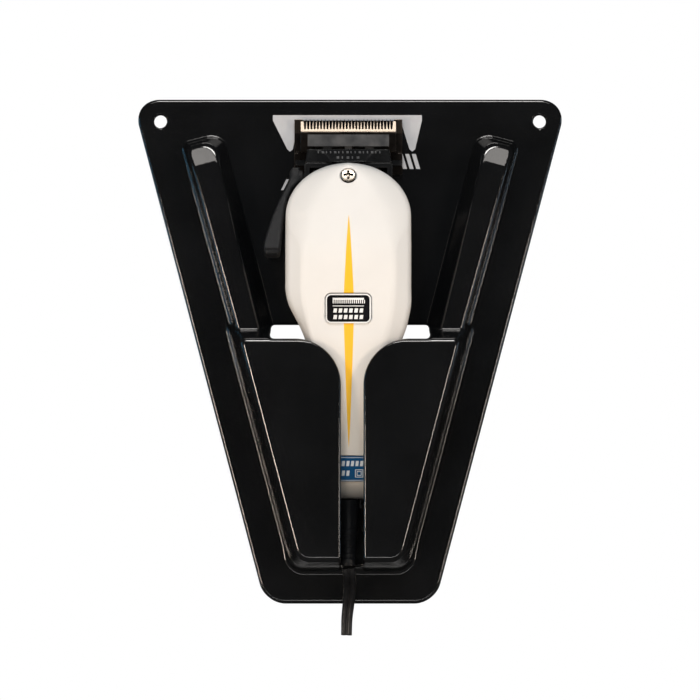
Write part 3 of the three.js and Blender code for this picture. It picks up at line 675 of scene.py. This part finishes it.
def housing_field(x, y, z):
    """Rear shell: neck, blade pad, posts, vents, switch window, hook lug and screw holes."""
    px = x - SHIFT
    ax = np.abs(px)
    wide = np.where(z > DOME_BASE, HALF - 2.2 * ease(DOME_BASE, -42, z), body_edge(px, z))
    half = 18.5 + (wide - 18.5) * ease(-37.5, -42, z)
    side = (ax - half) * 0.96
    back = (y - HEEL(z)) * 0.99
    outer = both(side, back, 5)
    outer = both(both(outer, z + 26.6, 1.0), HANDLE_END - z, 1.2)
    open_shell = both(both(outer, PARTING - y, 0.25), -outer - WALL, 0.3)
    pad = block(px, y, z, (-22.6, -12.4, -27.2), (22.6, -9.9, -24), 0.6)
    pad = np.minimum(pad, block(px, y, z, (-17.5, -12.4, -31), (17.5, -9.9, -26.6), 0.3))
    post = barrel(y, px, z - ARM_PIVOT, -19.6, -8.2, 2.0, 0.2)
    lug_low = (HOOK[0] - 2, HOOK[1] - 2.6, HOOK[2] - 2.2)
    lug_high = (HOOK[0] + 2, HOOK[1] + 2.6, -166.3)
    lug = block(px, y, z, lug_low, lug_high, 0.7)
    from_power = np.hypot(y - POWER_AXIS[0], z - POWER_AXIS[1])
    from_rear_screw = np.hypot(px, z - REAR_SCREW)
    boss = barrel(px, y - POWER_AXIS[0], z - POWER_AXIS[1], 20, 25.9, 5, 0.3)
    solid = either(np.minimum(np.minimum(open_shell, pad), np.minimum(post, boss)), lug, 0.4)
    rib = np.abs(np.mod(z + 130, 4) - 2) - 0.5
    vents = both(both(rib, ax - 7, 0.3), np.maximum(z + 128, -154 - z), 0.2)
    groove = both(np.abs(y + 22.2) - 0.3, -outer - 0.45, 0.1)
    for hole in (
        both(np.hypot(y - LEVER_PIVOT[0], z - LEVER_PIVOT[1]) - 2.3, px + 14, 0.1),
        both(from_power - 2.1, 18 - px, 0.1),
        both(from_power - 3.8, 24.2 - px, 0.1),
        block(px, y, z, (12, -20.6, -129), (26, -13.4, -111), 0.5),
        np.hypot(px - HOOK[0], z - HOOK[2]) - 1.35,
        both(np.hypot(ax - BLADE_SCREW[0], z - BLADE_SCREW[1]) - 1.6, -14 - y, 0.1),
        both(from_rear_screw - 3.2, -8.5 - y, 0.2),
        both(from_rear_screw - 1.6, -14 - y, 0.1),
        both(vents, -18 - y, 0.1),
        both(groove, z + 44, 0.2),
    ):
        solid = without(solid, hole, 0.2)
    return solid


housing = add_field("housing_shell", housing_field, (-28, -24.5, -173), (27, -6, -25), 0.55)
fit(housing, "housing_black", "clipper", "lower_housing")


# The nose's front slopes from an upper edge at (y, z) down and outward.
NOSE_EDGE = (-20.4, -20.5)
NOSE_RUN = (5.4, 5.8)
NOSE_SIDE = 17.3


def nose_field(x, y, z):
    """Sloping nose cap with a scooped cheek on each side and a knurled upper edge."""
    ax = np.abs(x - SHIFT)
    share = np.clip((z - NOSE_EDGE[1]) / -NOSE_RUN[1], 0, 1)
    front = (NOSE_EDGE[0] - share * NOSE_RUN[0] - y) * 0.73
    side = ax - NOSE_SIDE - share * 0.9
    scoop = 10.7 - np.hypot(ax - NOSE_SIDE, z + 31.2)
    cheek = (NOSE_EDGE[0] + 0.4 - share * NOSE_RUN[0] + 0.75 * scoop - y) * 0.62
    outer = both(both(front, cheek, 0.35), side, 0.9)
    outer = both(both(outer, z - NOSE_EDGE[1], 0.5), y + 14.9, 0.2)
    inner = both(both(front + 1.5, side + 1.5, 0.3), cheek + 1.2, 0.3)
    shell = both(both(outer, -inner, 0.2), -26.3 - z, 0.2)
    knurl = both(np.hypot(np.mod(ax, 1.1) - 0.55, z - NOSE_EDGE[1]) - 0.32, ax - 13.5, 0.05)
    return without(shell, knurl, 0.1)


nose = add_field("nose_cap", nose_field, (-20, -27, -27), (19, -14, -20), 0.24)
fit(nose, "housing_black", "clipper", "nose_piece")

# ---------------------------------------------------------------- blades


def blade_field(x, y, z, half, foot, root, tip, teeth, land, front, back, bevel, fine):
    """Blade plate with pointed teeth cut in its upper edge and a bevel behind the tips."""
    px = x - SHIFT
    ax = np.abs(px)
    plate = both(both(ax - half, np.maximum(front - y, y - back), 0.2), np.maximum(foot - z, z - tip), 0.25)
    plate = both(plate, (front - y + bevel * (z - root + 1.2)) * 0.93, 0.1)
    pitch = 2 * (half - land) / teeth
    gap_at = np.abs(np.mod(px - half + land, pitch) - pitch / 2)
    rise = np.clip((z - root) / (tip - root), 0, 1)
    gap = both(gap_at - fine * pitch * (0.42 + 0.42 * rise), root - z, 0.1)
    gap = np.maximum(gap, ax - (half - land))
    return without(plate, gap, 0.06)


def cutter_field(x, y, z):
    """Moving blade with the drive slot and two relief lines."""
    blade = blade_field(x, y, z, half=20.2, foot=-21.4, root=-11.6, tip=-8.2, teeth=28, land=1.2,
                        front=-12.6, back=-9.9, bevel=0.36, fine=0.5)
    slot = block(x - SHIFT, y, z, (-1.9, -14, -20.3), (1.9, -8, -15.6), 0.3)
    relief = both(np.abs(np.abs(x - SHIFT) - 18.9) - 0.35, -12.3 - y, 0.05)
    relief = both(relief, np.abs(z + 18) - 3.4, 0.1)
    return without(without(blade, slot, 0.15), relief, 0.1)


def fixed_field(x, y, z):
    """Fixed blade with two counterbored screw holes and a tick mark at each side."""
    blade = blade_field(x, y, z, half=22.9, foot=-30.6, root=-12.6, tip=-7.2, teeth=24, land=3.4,
                        front=-9.7, back=-7.3, bevel=0.0, fine=0.5)
    ax = np.abs(x - SHIFT)
    from_screw = np.hypot(ax - BLADE_SCREW[0], z - BLADE_SCREW[1])
    blade = without(blade, from_screw - 1.7, 0.1)
    blade = without(blade, both(from_screw - 3, -8.6 - y, 0.1), 0.15)
    tick = both(np.abs(z + 21.3) - 0.3, np.maximum(21.2 - ax, y + 9.3), 0.05)
    return without(blade, tick, 0.1)


blade_step = 0.15
cutter = add_field("cutter_blade", cutter_field, (-21.5, -13.1, -22), (20.5, -9.4, -7.6), blade_step)
fit(cutter, "blade_steel", "cutter", "cutter")
fixed = add_field("fixed_blade_plate", fixed_field, (-24.2, -10.2, -31.2), (22.8, -6.8, -6.6), blade_step)
fit(fixed, "blade_steel", "clipper", "fixed_blade")

# ---------------------------------------------------------------- screws


def screw_mesh(name, head, height, shaft, length):
    """Domed cross-head screw, its head's top at the origin and pointing up its own Z."""

    def field(x, y, z):
        radial = np.hypot(x, y)
        dome = z + 0.045 * radial ** 2 / head * 2.2
        top = both(both(radial - head, dome, 0.35), -height - z, 0.15)
        arms = np.minimum(np.maximum(np.abs(x) - head * 0.62, np.abs(y) - head * 0.17),
                          np.maximum(np.abs(y) - head * 0.62, np.abs(x) - head * 0.17))
        arms = np.minimum(arms, rectangle((x + y) * 0.707, (x - y) * 0.707, head * 0.3, head * 0.3, 0.1))
        top = without(top, both(arms + 0.12 * np.maximum(-z, 0), -0.95 * height - z, 0.1), 0.08)
        thread = shaft - 0.12 * np.abs(np.mod(z / 0.5, 1) - 0.5)
        body = both(radial - thread, np.maximum(-height - length - z, z + height * 0.5), 0.1)
        return np.minimum(top, body)

    span = head + 0.3
    step = head * 0.055
    return add_field(name, field, (-span, -span, -height - length - 0.3), (span, span, 0.4), step)


def aim(piece, place, direction):
    """Turn a mesh so that its Z points along a direction, and set it down at a place in millimetres."""
    turn = Vector(direction).normalized().to_track_quat("Z", "Y").to_matrix().to_4x4()
    turn.translation = Vector(place) * MM
    piece.data.transform(turn)
    return piece


seat_y = -31 + HEAD_SLOPE * (SEAT[0] + 26.8)
out = Vector((0, -1, HEAD_SLOPE)).normalized()
seat = Vector((SHIFT, seat_y, SEAT[0])) + out * 0.75
back, left = (0, 1, 0), (-1, 0, 0)
blade_left = (SHIFT - BLADE_SCREW[0], -7.4, BLADE_SCREW[1])
blade_right = (SHIFT + BLADE_SCREW[0], -7.4, BLADE_SCREW[1])
# Node; head radius and height, shaft radius and length; place; direction; finish; body.
SCREWS = [
    ("cover_screw", (3.1, 1.9, 1.3, 4.4), seat, out, "chrome", "clipper"),
    ("rear_screw", (2.8, 1.2, 1.2, 3.0), (SHIFT, -7.1, REAR_SCREW), back, "blade_steel", "clipper"),
    ("blade_screw_left", (2.7, 1.1, 1.3, 3.0), blade_left, back, "blade_steel", "clipper"),
    ("blade_screw_right", (2.7, 1.1, 1.3, 3.0), blade_right, back, "blade_steel", "clipper"),
    ("lever_screw", (1.9, 1.0, 0.8, 2.6), (SHIFT - 24.55, *LEVER_PIVOT), left, "chrome", "taper_lever"),
]
for name, sizes, place, direction, slot, body in SCREWS:
    fit(aim(screw_mesh(name + "_head", *sizes), place, direction), slot, body, name)


def power_field(x, y, z):
    """Slotted adjusting screw with a milled edge, lying along X."""
    px = x - SHIFT
    dy, dz = y - POWER_AXIS[0], z - POWER_AXIS[1]
    head = barrel(px, dy, dz, 24.4, 26.0, 3.4, 0.35)
    edge = np.hypot(dy, dz)
    turn = np.arctan2(dy, dz)
    head = np.maximum(head, edge - 3.4 - 0.14 * np.cos(turn * 24) + 0.1)
    slot = block(px, dy, dz, (25.3, -0.5, -5), (28, 0.5, 5), 0.1)
    stem = barrel(px, dy, dz, 17, 25, 1.7, 0.2)
    return np.minimum(without(head, slot, 0.12), stem)


power_step = 0.16
power = add_field("power_screw_head", power_field, (15.5, -20.2, -72.2), (26.2, -11.8, -63.8), power_step)
fit(power, "blade_steel", "power_screw", "power_screw")

# ---------------------------------------------------------------- taper lever

LEVER_ARM = [(-20.4, -29.4), (-20.4, -35.2), (-23.6, -38.6), (-25.6, -43), (-26.6, -47.5), (-27.3, -55),
             (-28.0, -62.4), (-28.5, -65.2), (-29.6, -65.8), (-34.0, -65.7), (-35.0, -64.6), (-35.1, -62.6),
             (-34.2, -58.4), (-31.9, -50.8), (-29.1, -43.8), (-26, -37.4), (-24.7, -34.2), (-24.6, -31),
             (-23.5, -29.4)]
LEVER_TILT = math.radians(24)


def lever_field(x, y, z):
    """Bent arm with its hub, stem, crank and pin; the arm leans out from the board."""
    px = x - SHIFT
    dy, dz = y - LEVER_PIVOT[0], z - LEVER_PIVOT[1]
    deep = dy * math.cos(LEVER_TILT) - dz * math.sin(LEVER_TILT)
    along = (dy * math.sin(LEVER_TILT) + dz * math.cos(LEVER_TILT)) * math.cos(LEVER_TILT)
    flat = polygon(px, along + LEVER_PIVOT[1], LEVER_ARM)
    lip = 0.9 * ease(-31.2, -31.9, along)
    arm = both(flat, np.maximum(-3.4 - deep + lip, deep - 3.4), 1.1)
    hub = barrel(px, dy, dz, -23.6, -19, 3.35, 0.5)
    hub = either(arm, hub, 0.8)
    hub = without(hub, both(np.hypot(dy, dz) - 2.3, px + 23.4, 0.1), 0.25)
    stem = barrel(px, dy, dz, -20, -15.6, 1.9, 0.1)
    crank = block(px, y, z, (-15.7, -21.6, -34.5), (-15.1, -17.1, -31.1), 0.2)
    pin = barrel(px, dy + 1.6, dz, -15.2, -12.4, 1.1, 0.2)
    lever = np.minimum(np.minimum(hub, stem), np.minimum(crank, pin))
    return without(lever, both(np.hypot(dy, dz) - 1.15, px + 18.8, 0.1), 0.1)


lever = add_field("lever_arm", lever_field, (-37, -38.5, -71), (-11.5, -13.5, -27), 0.3)
fit(lever, "lever_grey", "taper_lever", "taper_lever")

# ---------------------------------------------------------------- switch, plates and cord end


def button_field(x, y, z):
    """Switch slider with three grip ridges."""
    px = x - SHIFT
    pad = block(px, y, z, (13.6, -19.8, -124.5), (17.4, -14.2, -115.5), 0.6)
    ridge = np.hypot(px - 17.3, np.mod(z + 1, 2) - 1) - 0.75
    ridge = both(both(ridge, np.abs(y + 17) - 2, 0.3), np.abs(z + 120) - 3, 0.2)
    return either(pad, ridge, 0.3)


button = add_field("switch_slider", button_field, (12, -20.4, -125.2), (18.5, -13.6, -114.8), 0.25)
fit(button, "housing_black", "switch_button", "switch_button")


def plate_field(patch, half_u, half_v, r):
    """Field of a thin plate lying on a flat patch of the cover."""

    def field(x, y, z):
        u, v, h = on_crown(x, y, z, *patch)
        return both(rectangle(u, v, half_u, half_v, r), np.maximum(h - 0.5, -0.35 - h), 0.12)

    return field


badge = add_field("badge_plate", plate_field(BADGE, *BADGE_PLATE), (-11, -48, -96), (10, -42, -80), 0.25)
fit(badge, "badge_black", "clipper", "centre_badge")
rating = add_field("rating_label", plate_field(RATING, *RATING_PLATE), (-10, -36, -161), (9, -30, -147), 0.25)
fit(rating, "rating_blue", "clipper", "rating_plate")


def relief_field(x, y, z):
    """Tapering strain relief with moulded rings and a collar at the housing."""
    radial = np.hypot(x - SHIFT, y + 22.5)
    profile = through([(-167, 4.3), (-175, 4.25), (-182, 3.9), (-190, 3.5), (-196, 2.95)])
    ring = 0.12 * ease(0.55, 0.9, np.abs(np.mod(z / 2.4, 1) - 0.5) * 2) * ease(-177, -180, z)
    body = both((radial - profile(z) + ring) * 0.95, np.maximum(z + 167.6, -195.4 - z), 0.5)
    collar = both(radial - 4.3, np.abs(z + 169.2) - 1.6, 0.3)
    return np.minimum(body, collar)


relief_step = 0.22
relief = add_field("cord_relief", relief_field, (-5.6, -27.4, -196), (4.2, -17.6, -167), relief_step)
fit(relief, "rubber", "clipper", "strain_relief")


def sweep(name, path, section, count):
    """Closed tube through path points; section gives offsets across and outward for each turn and place."""
    marks = np.linspace(0, 1, len(path))
    fine = np.linspace(0, 1, count)
    curves = [through(list(zip(marks, [p[i] for p in path]))) for i in range(3)]
    line = np.stack([c(fine) for c in curves], 1)
    along = np.gradient(line, axis=0)
    along /= np.linalg.norm(along, axis=1, keepdims=True)
    outward = np.stack([np.zeros(count), -along[:, 2], along[:, 1]], 1)
    outward /= np.linalg.norm(outward, axis=1, keepdims=True)
    across = np.cross(outward, along)
    rings = []
    for i, t in enumerate(fine):
        a, b = section(t)
        rings.append(line[i] + a[:, None] * across[i] + b[:, None] * outward[i])
    sides = len(rings[0])
    faces = []
    for i in range(count - 1):
        for j in range(sides):
            k = (j + 1) % sides
            faces.append((i * sides + j, i * sides + k, (i + 1) * sides + k, (i + 1) * sides + j))
    faces.append(tuple(range(sides - 1, -1, -1)))
    faces.append(tuple(range((count - 1) * sides, count * sides)))
    piece = add_mesh(name, np.concatenate(rings), faces)
    for face in piece.data.polygons:
        if len(face.vertices) > 4:
            face.use_smooth = False
    return piece


def flex_section(t):
    """Two round cores side by side with a web between them."""
    turn = np.linspace(0, 2 * np.pi, 72, endpoint=False)
    half = 2.7 - 0.4 * ease(0.3, 1, np.array(t))
    across = half * np.cos(turn)
    core = half / 2
    thick = np.sqrt(np.maximum(core ** 2 - (np.abs(across) - core) ** 2, 0))
    return across, np.maximum(thick, 0.55 * (np.abs(across) < core)) * np.sign(np.sin(turn))


CORD = [(SHIFT, -22.5, -196.3), (SHIFT + 0.4, -20.8, -199.8), (SHIFT + 0.6, -14.4, -205.0),
        (SHIFT + 0.1, -10.6, -212.0), (SHIFT - 0.6, -9.3, -219.0), (SHIFT - 0.8, -9.0, -226.0)]
fit(sweep("cord_flex", CORD, flex_section, 60), "rubber", "clipper", "cord")


def round_section(radius, sides=20):
    """Circle of one radius all along a sweep."""
    turn = np.linspace(0, 2 * np.pi, sides, endpoint=False)
    return lambda t: (radius * np.cos(turn), radius * np.sin(turn))


HOOK_LINE = [(-19.6, 0), (-17, 0), (-15.6, -1.6), (-15.6, -8), (-18, -10.6), (-23, -10.6), (-25.4, -8),
             (-25.4, -1.6), (-24, 0), (-21.4, 0)]
loop = [(SHIFT + HOOK[0], y, HOOK[2] + z) for y, z in HOOK_LINE]
fit(sweep("hanger_loop", loop, round_section(0.85), 90), "chrome", "hanger_hook", "hanger_hook")


def coil_spring(name, start, radius, wire, turns, pitch):
    """Round-wire spring lying along X."""
    count, sides = turns * 26, 12
    turn = np.linspace(0, turns * 2 * np.pi, count)
    around = np.linspace(0, 2 * np.pi, sides, endpoint=False)
    reach = radius + wire * np.cos(around)[None, :]
    points = np.stack([
        start[0] + turn[:, None] / (2 * np.pi) * pitch + wire * np.sin(around)[None, :],
        start[1] + reach * np.cos(turn)[:, None],
        start[2] + reach * np.sin(turn)[:, None],
    ], 2).reshape(-1, 3)
    faces = []
    for i in range(count - 1):
        for j in range(sides):
            k = (j + 1) % sides
            faces.append((i * sides + j, (i + 1) * sides + j, (i + 1) * sides + k, i * sides + k))
    faces.append(tuple(range(sides)))
    faces.append(tuple(range(count * sides - 1, (count - 1) * sides - 1, -1)))
    return add_mesh(name, points, faces)


for side, start in (("left", -20.4), ("right", 6.6)):
    spring = coil_spring("spring_coil_" + side, (SHIFT + start, -16.4, -52), 2.1, 0.45, 6, 2.2)
    fit(spring, "blade_steel", "clipper", "return_spring_" + side)

# ---------------------------------------------------------------- printed marks


def print_marks(name, shapes, place, mat, body, thick=0.06):
    """Thin raised ink: each shape is a list of in-plane points, set down by a function of (u, v, height)."""
    points, faces = [], []
    for shape in shapes:
        first, count = len(points), len(shape)
        for height in (-0.03, thick):
            points.extend(place(u, v, height) for u, v in shape)
        low = list(range(first, first + count))
        high = [i + count for i in low]
        faces.append(tuple(reversed(low)))
        faces.append(tuple(high))
        for i in range(count):
            k = (i + 1) % count
            faces.append((low[i], low[k], high[k], high[i]))
    piece = add_mesh(name, points, faces, smooth=False)
    paint(piece, mat)
    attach(piece, body)
    return piece


def patch_place(patch, lift):
    """Set-down function for marks on a plate lying on the cover's front."""
    place, slope = patch
    length = math.hypot(1, slope)
    y0 = float(crown_at(np.array(place)))

    def at(u, v, height):
        h = height + lift
        return (SHIFT + u, y0 + (slope * v - h) / length, place + (v + slope * h) / length)

    return at


def bar(u, v, width, height, lean=0.0):
    """Upright or leaning bar from its lower left corner."""
    return [(u, v), (u + width, v), (u + width + lean * height, v + height), (u + lean * height, v + height)]


def rounded(half_u, half_v, r, steps=6):
    """Outline of a rounded rectangle, anticlockwise."""
    outline = []
    for quarter in range(4):
        cu = (half_u - r) * (1 if quarter in (0, 3) else -1)
        cv = (half_v - r) * (1 if quarter in (0, 1) else -1)
        for k in range(steps + 1):
            turn = math.pi / 2 * (quarter + k / steps)
            outline.append((cu + r * math.cos(turn), cv + r * math.sin(turn)))
    return outline


def frame_strips(half_u, half_v, r, width):
    """Border line of a rounded rectangle as short strips."""
    outer = rounded(half_u, half_v, r)
    inner = rounded(half_u - width, half_v - width, r - width)
    count = len(outer)
    return [[inner[i], outer[i], outer[(i + 1) % count], inner[(i + 1) % count]] for i in range(count)]


# Badge: border, a comb, a rule and two rows of blocks.
badge_marks = frame_strips(9.3, 6.1, 2.25, 0.55)
badge_marks.append(bar(-6.4, 3.6, 12.8, 0.8))
badge_marks += [bar(-6.4 + 0.8 * i, 2.1, 0.4, 1.5) for i in range(17)]
badge_marks.append(bar(-6.4, 0.9, 12.8, 0.3))
badge_marks += [bar(-6.2 + 2.15 * i, -1.7, 1.4, 1.7, 0.15) for i in range(6)]
badge_marks += [bar(-6.2 + 2.15 * i, -4.4, 1.4, 1.7, 0.15) for i in range(6)]
print_marks("badge_print", badge_marks, patch_place(BADGE, 0.5), print_white, "clipper")

# Rating label: two nested squares and rows of fine bars.
label_marks = frame_strips(7.7, 4.9, 0.5, 0.2)
for half in (1.7, 1.0):
    label_marks += [[(u + 4.5, v - 1.9) for u, v in strip] for strip in frame_strips(half, half, 0.25, 0.3)]
label_marks += [bar(-6.6 + 1.9 * i, 1.2, 1.2, 2.2, 0.12) for i in range(7)]
label_marks += [bar(-6.6 + 1.9 * i, -2.9, 1.2, 2.2, 0.12) for i in range(4)]
print_marks("rating_print", label_marks, patch_place(RATING, 0.5), print_white, "clipper", 0.04)


# Nose marks: two rows of small raised blocks on the sloping front.
NOSE_DOWN, NOSE_OUT = (-0.681, -0.732), (-0.732, 0.681)


def on_nose(u, v, height):
    """Place on the nose's front, v measured down from its upper edge."""
    y, z = (NOSE_EDGE[i] + v * NOSE_DOWN[i] + height * NOSE_OUT[i] for i in (0, 1))
    return (SHIFT + u, y, z)


nose_marks = [bar(-12.8 + 1.72 * i, 2.9, 0.5 + 0.5 * (i % 3 == 1), -1.3, 0.1) for i in range(16)]
nose_marks += [bar(-4.9 + 2.1 * i, 6.2, 1.1 - 0.5 * (i % 2), -1.4) for i in range(5)]
print_marks("nose_marks", nose_marks, on_nose, finish["lamination"], "clipper", 0.12)

# Board print: a comb emblem above and beside the blades.


def on_board(u, v, height):
    """Place on the board's front."""
    return (u, BOARD_FACE - height, v)


board_marks = [bar(-32.8, -7.4, 63.4, 2.3)]
for side, inner, outer, tip in ((-1, 22.0, 32.8, 25.5), (1, 21.5, 30.6, 26.5)):
    wedge = ((inner, -7.4), (outer, -7.4), (tip + 1.2, -19.6), (tip, -20.6), (tip - 1.2, -19.6))
    board_marks.append([(side * u, v) for u, v in wedge][::side])
board_marks += [bar(22.6 + 2.8 * i, -28.0, 1.7, 6.4, -0.3) for i in range(3)]
board_marks += [bar(-29.4 + 2.0 * i, -37.0, 1.1, 4.6, 0.5) for i in range(2)]
print_marks("board_print", board_marks, on_board, print_grey, "holder", 0.05)

# ---------------------------------------------------------------- camera, light and stage

# The camera stands square to the board; half the picture's width is seen at this distance, both in mm.
CAMERA_PLACE = (0.0, -1.106, -0.10503)
VIEW_HALF, VIEW_DISTANCE = 148.94, 1100
# Light on surfaces from the surroundings: on matt shading, and in reflections.
MATT_FILL, GLOSS_FILL = 0.2, 0.02

camera_data = bpy.data.cameras.new("camera")
camera = bpy.data.objects.new("camera", camera_data)
bpy.context.scene.collection.objects.link(camera)
camera.location = CAMERA_PLACE
camera.rotation_euler = (math.pi / 2, 0, 0)
camera_data.sensor_fit = "HORIZONTAL"
camera_data.angle = 2 * math.atan(VIEW_HALF / VIEW_DISTANCE)
camera_data.clip_start = 0.05
bpy.context.scene.camera = camera


AIM = (0, 0, -0.1)


def softbox(name, place, width, height, power, colour, gloss):
    """Area light aimed at the holder: for soft shading, or only for reflections."""
    data = bpy.data.lights.new(name, "AREA")
    data.shape = "RECTANGLE"
    data.size, data.size_y = width, height
    data.energy = power
    data.color = colour
    obj = bpy.data.objects.new(name, data)
    bpy.context.scene.collection.objects.link(obj)
    obj.location = place
    direction = Vector(AIM) - Vector(place)
    obj.rotation_euler = direction.to_track_quat("-Z", "Y").to_euler()
    obj.visible_glossy = gloss
    obj.visible_diffuse = not gloss


# Name, place, width and height in metres, watts, colour, and whether it only gives reflections.
LIGHTS = [
    ("key_above", (0.0, -0.85, 0.50), 0.5, 0.4, 4.6, (0.78, 0.89, 1.0), False),
    ("fill_front", (-0.2, -1.25, -0.05), 0.3, 0.4, 3.4, (1.0, 0.92, 0.84), False),
    ("fill_left", (-0.8, -0.9, -0.2), 0.2, 0.5, 4.4, (1.0, 0.83, 0.68), False),
    ("fill_right", (0.8, -0.9, -0.1), 0.2, 0.5, 4.5, (1.0, 0.84, 0.70), False),
    ("gloss_high", (0.0, -0.72, 0.73), 0.9, 0.18, 1.5, (1.0, 0.96, 0.92), True),
    ("gloss_top", (0.0, -0.45, 0.82), 0.5, 0.16, 4.6, (1.0, 0.97, 0.94), True),
    ("gloss_left", (-0.8, -0.9, -0.35), 0.05, 0.36, 4.2, (1.0, 0.86, 0.74), True),
    ("gloss_right", (0.8, -0.9, -0.33), 0.05, 0.32, 1.9, (1.0, 0.88, 0.78), True),
    ("rim_left", (-0.95, -0.12, -0.1), 0.05, 0.5, 0.7, (0.25, 0.65, 1.0), True),
    ("rim_right", (0.95, -0.12, -0.1), 0.05, 0.5, 0.5, (0.6, 0.8, 1.0), True),
    ("gloss_low", (0.0, -0.7, -0.44), 0.5, 0.03, 0.28, (1.0, 0.98, 0.96), True),
]
for light in LIGHTS:
    softbox(*light)

world = bpy.data.worlds.new("studio")
bpy.context.scene.world = world
world.use_nodes = True
tree = world.node_tree
background = tree.nodes["Background"]
background.inputs["Color"].default_value = (1, 1, 1, 1)
rays = tree.nodes.new("ShaderNodeLightPath")
spread = tree.nodes.new("ShaderNodeMath")
spread.operation = "MULTIPLY_ADD"
tree.links.new(rays.outputs["Is Diffuse Ray"], spread.inputs[0])
spread.inputs[1].default_value = MATT_FILL
spread.inputs[2].default_value = GLOSS_FILL
seen = tree.nodes.new("ShaderNodeMath")
seen.operation = "MAXIMUM"
tree.links.new(rays.outputs["Is Camera Ray"], seen.inputs[0])
tree.links.new(spread.outputs[0], seen.inputs[1])
tree.links.new(seen.outputs[0], background.inputs["Strength"])

bpy.ops.mesh.primitive_plane_add(size=1.6, location=(0, -0.1, -0.5))
floor = bpy.context.object
floor.name = "floor"
floor_surface = Surface("floor_pale", (0.82, 0.82, 0.81), 0.6)
floor_surface.tint(0.02, 6).vary(0.1, 9).bumps(40, 0.05)
# In reflections the floor is painted near-black: painted shade seen only by glossy rays.
reflected = floor_surface.add("ShaderNodeLightPath").outputs["Is Glossy Ray"]
paint(floor, floor_surface.over(reflected, (0.03, 0.03, 0.03)).done())
floor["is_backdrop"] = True

bpy.context.scene.view_settings.view_transform = "Standard"

new_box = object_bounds()
boxes = {"cad": cad_box, "scene": new_box}
{key: [list(map(float, p)) for p in box] for key, box in boxes.items()}
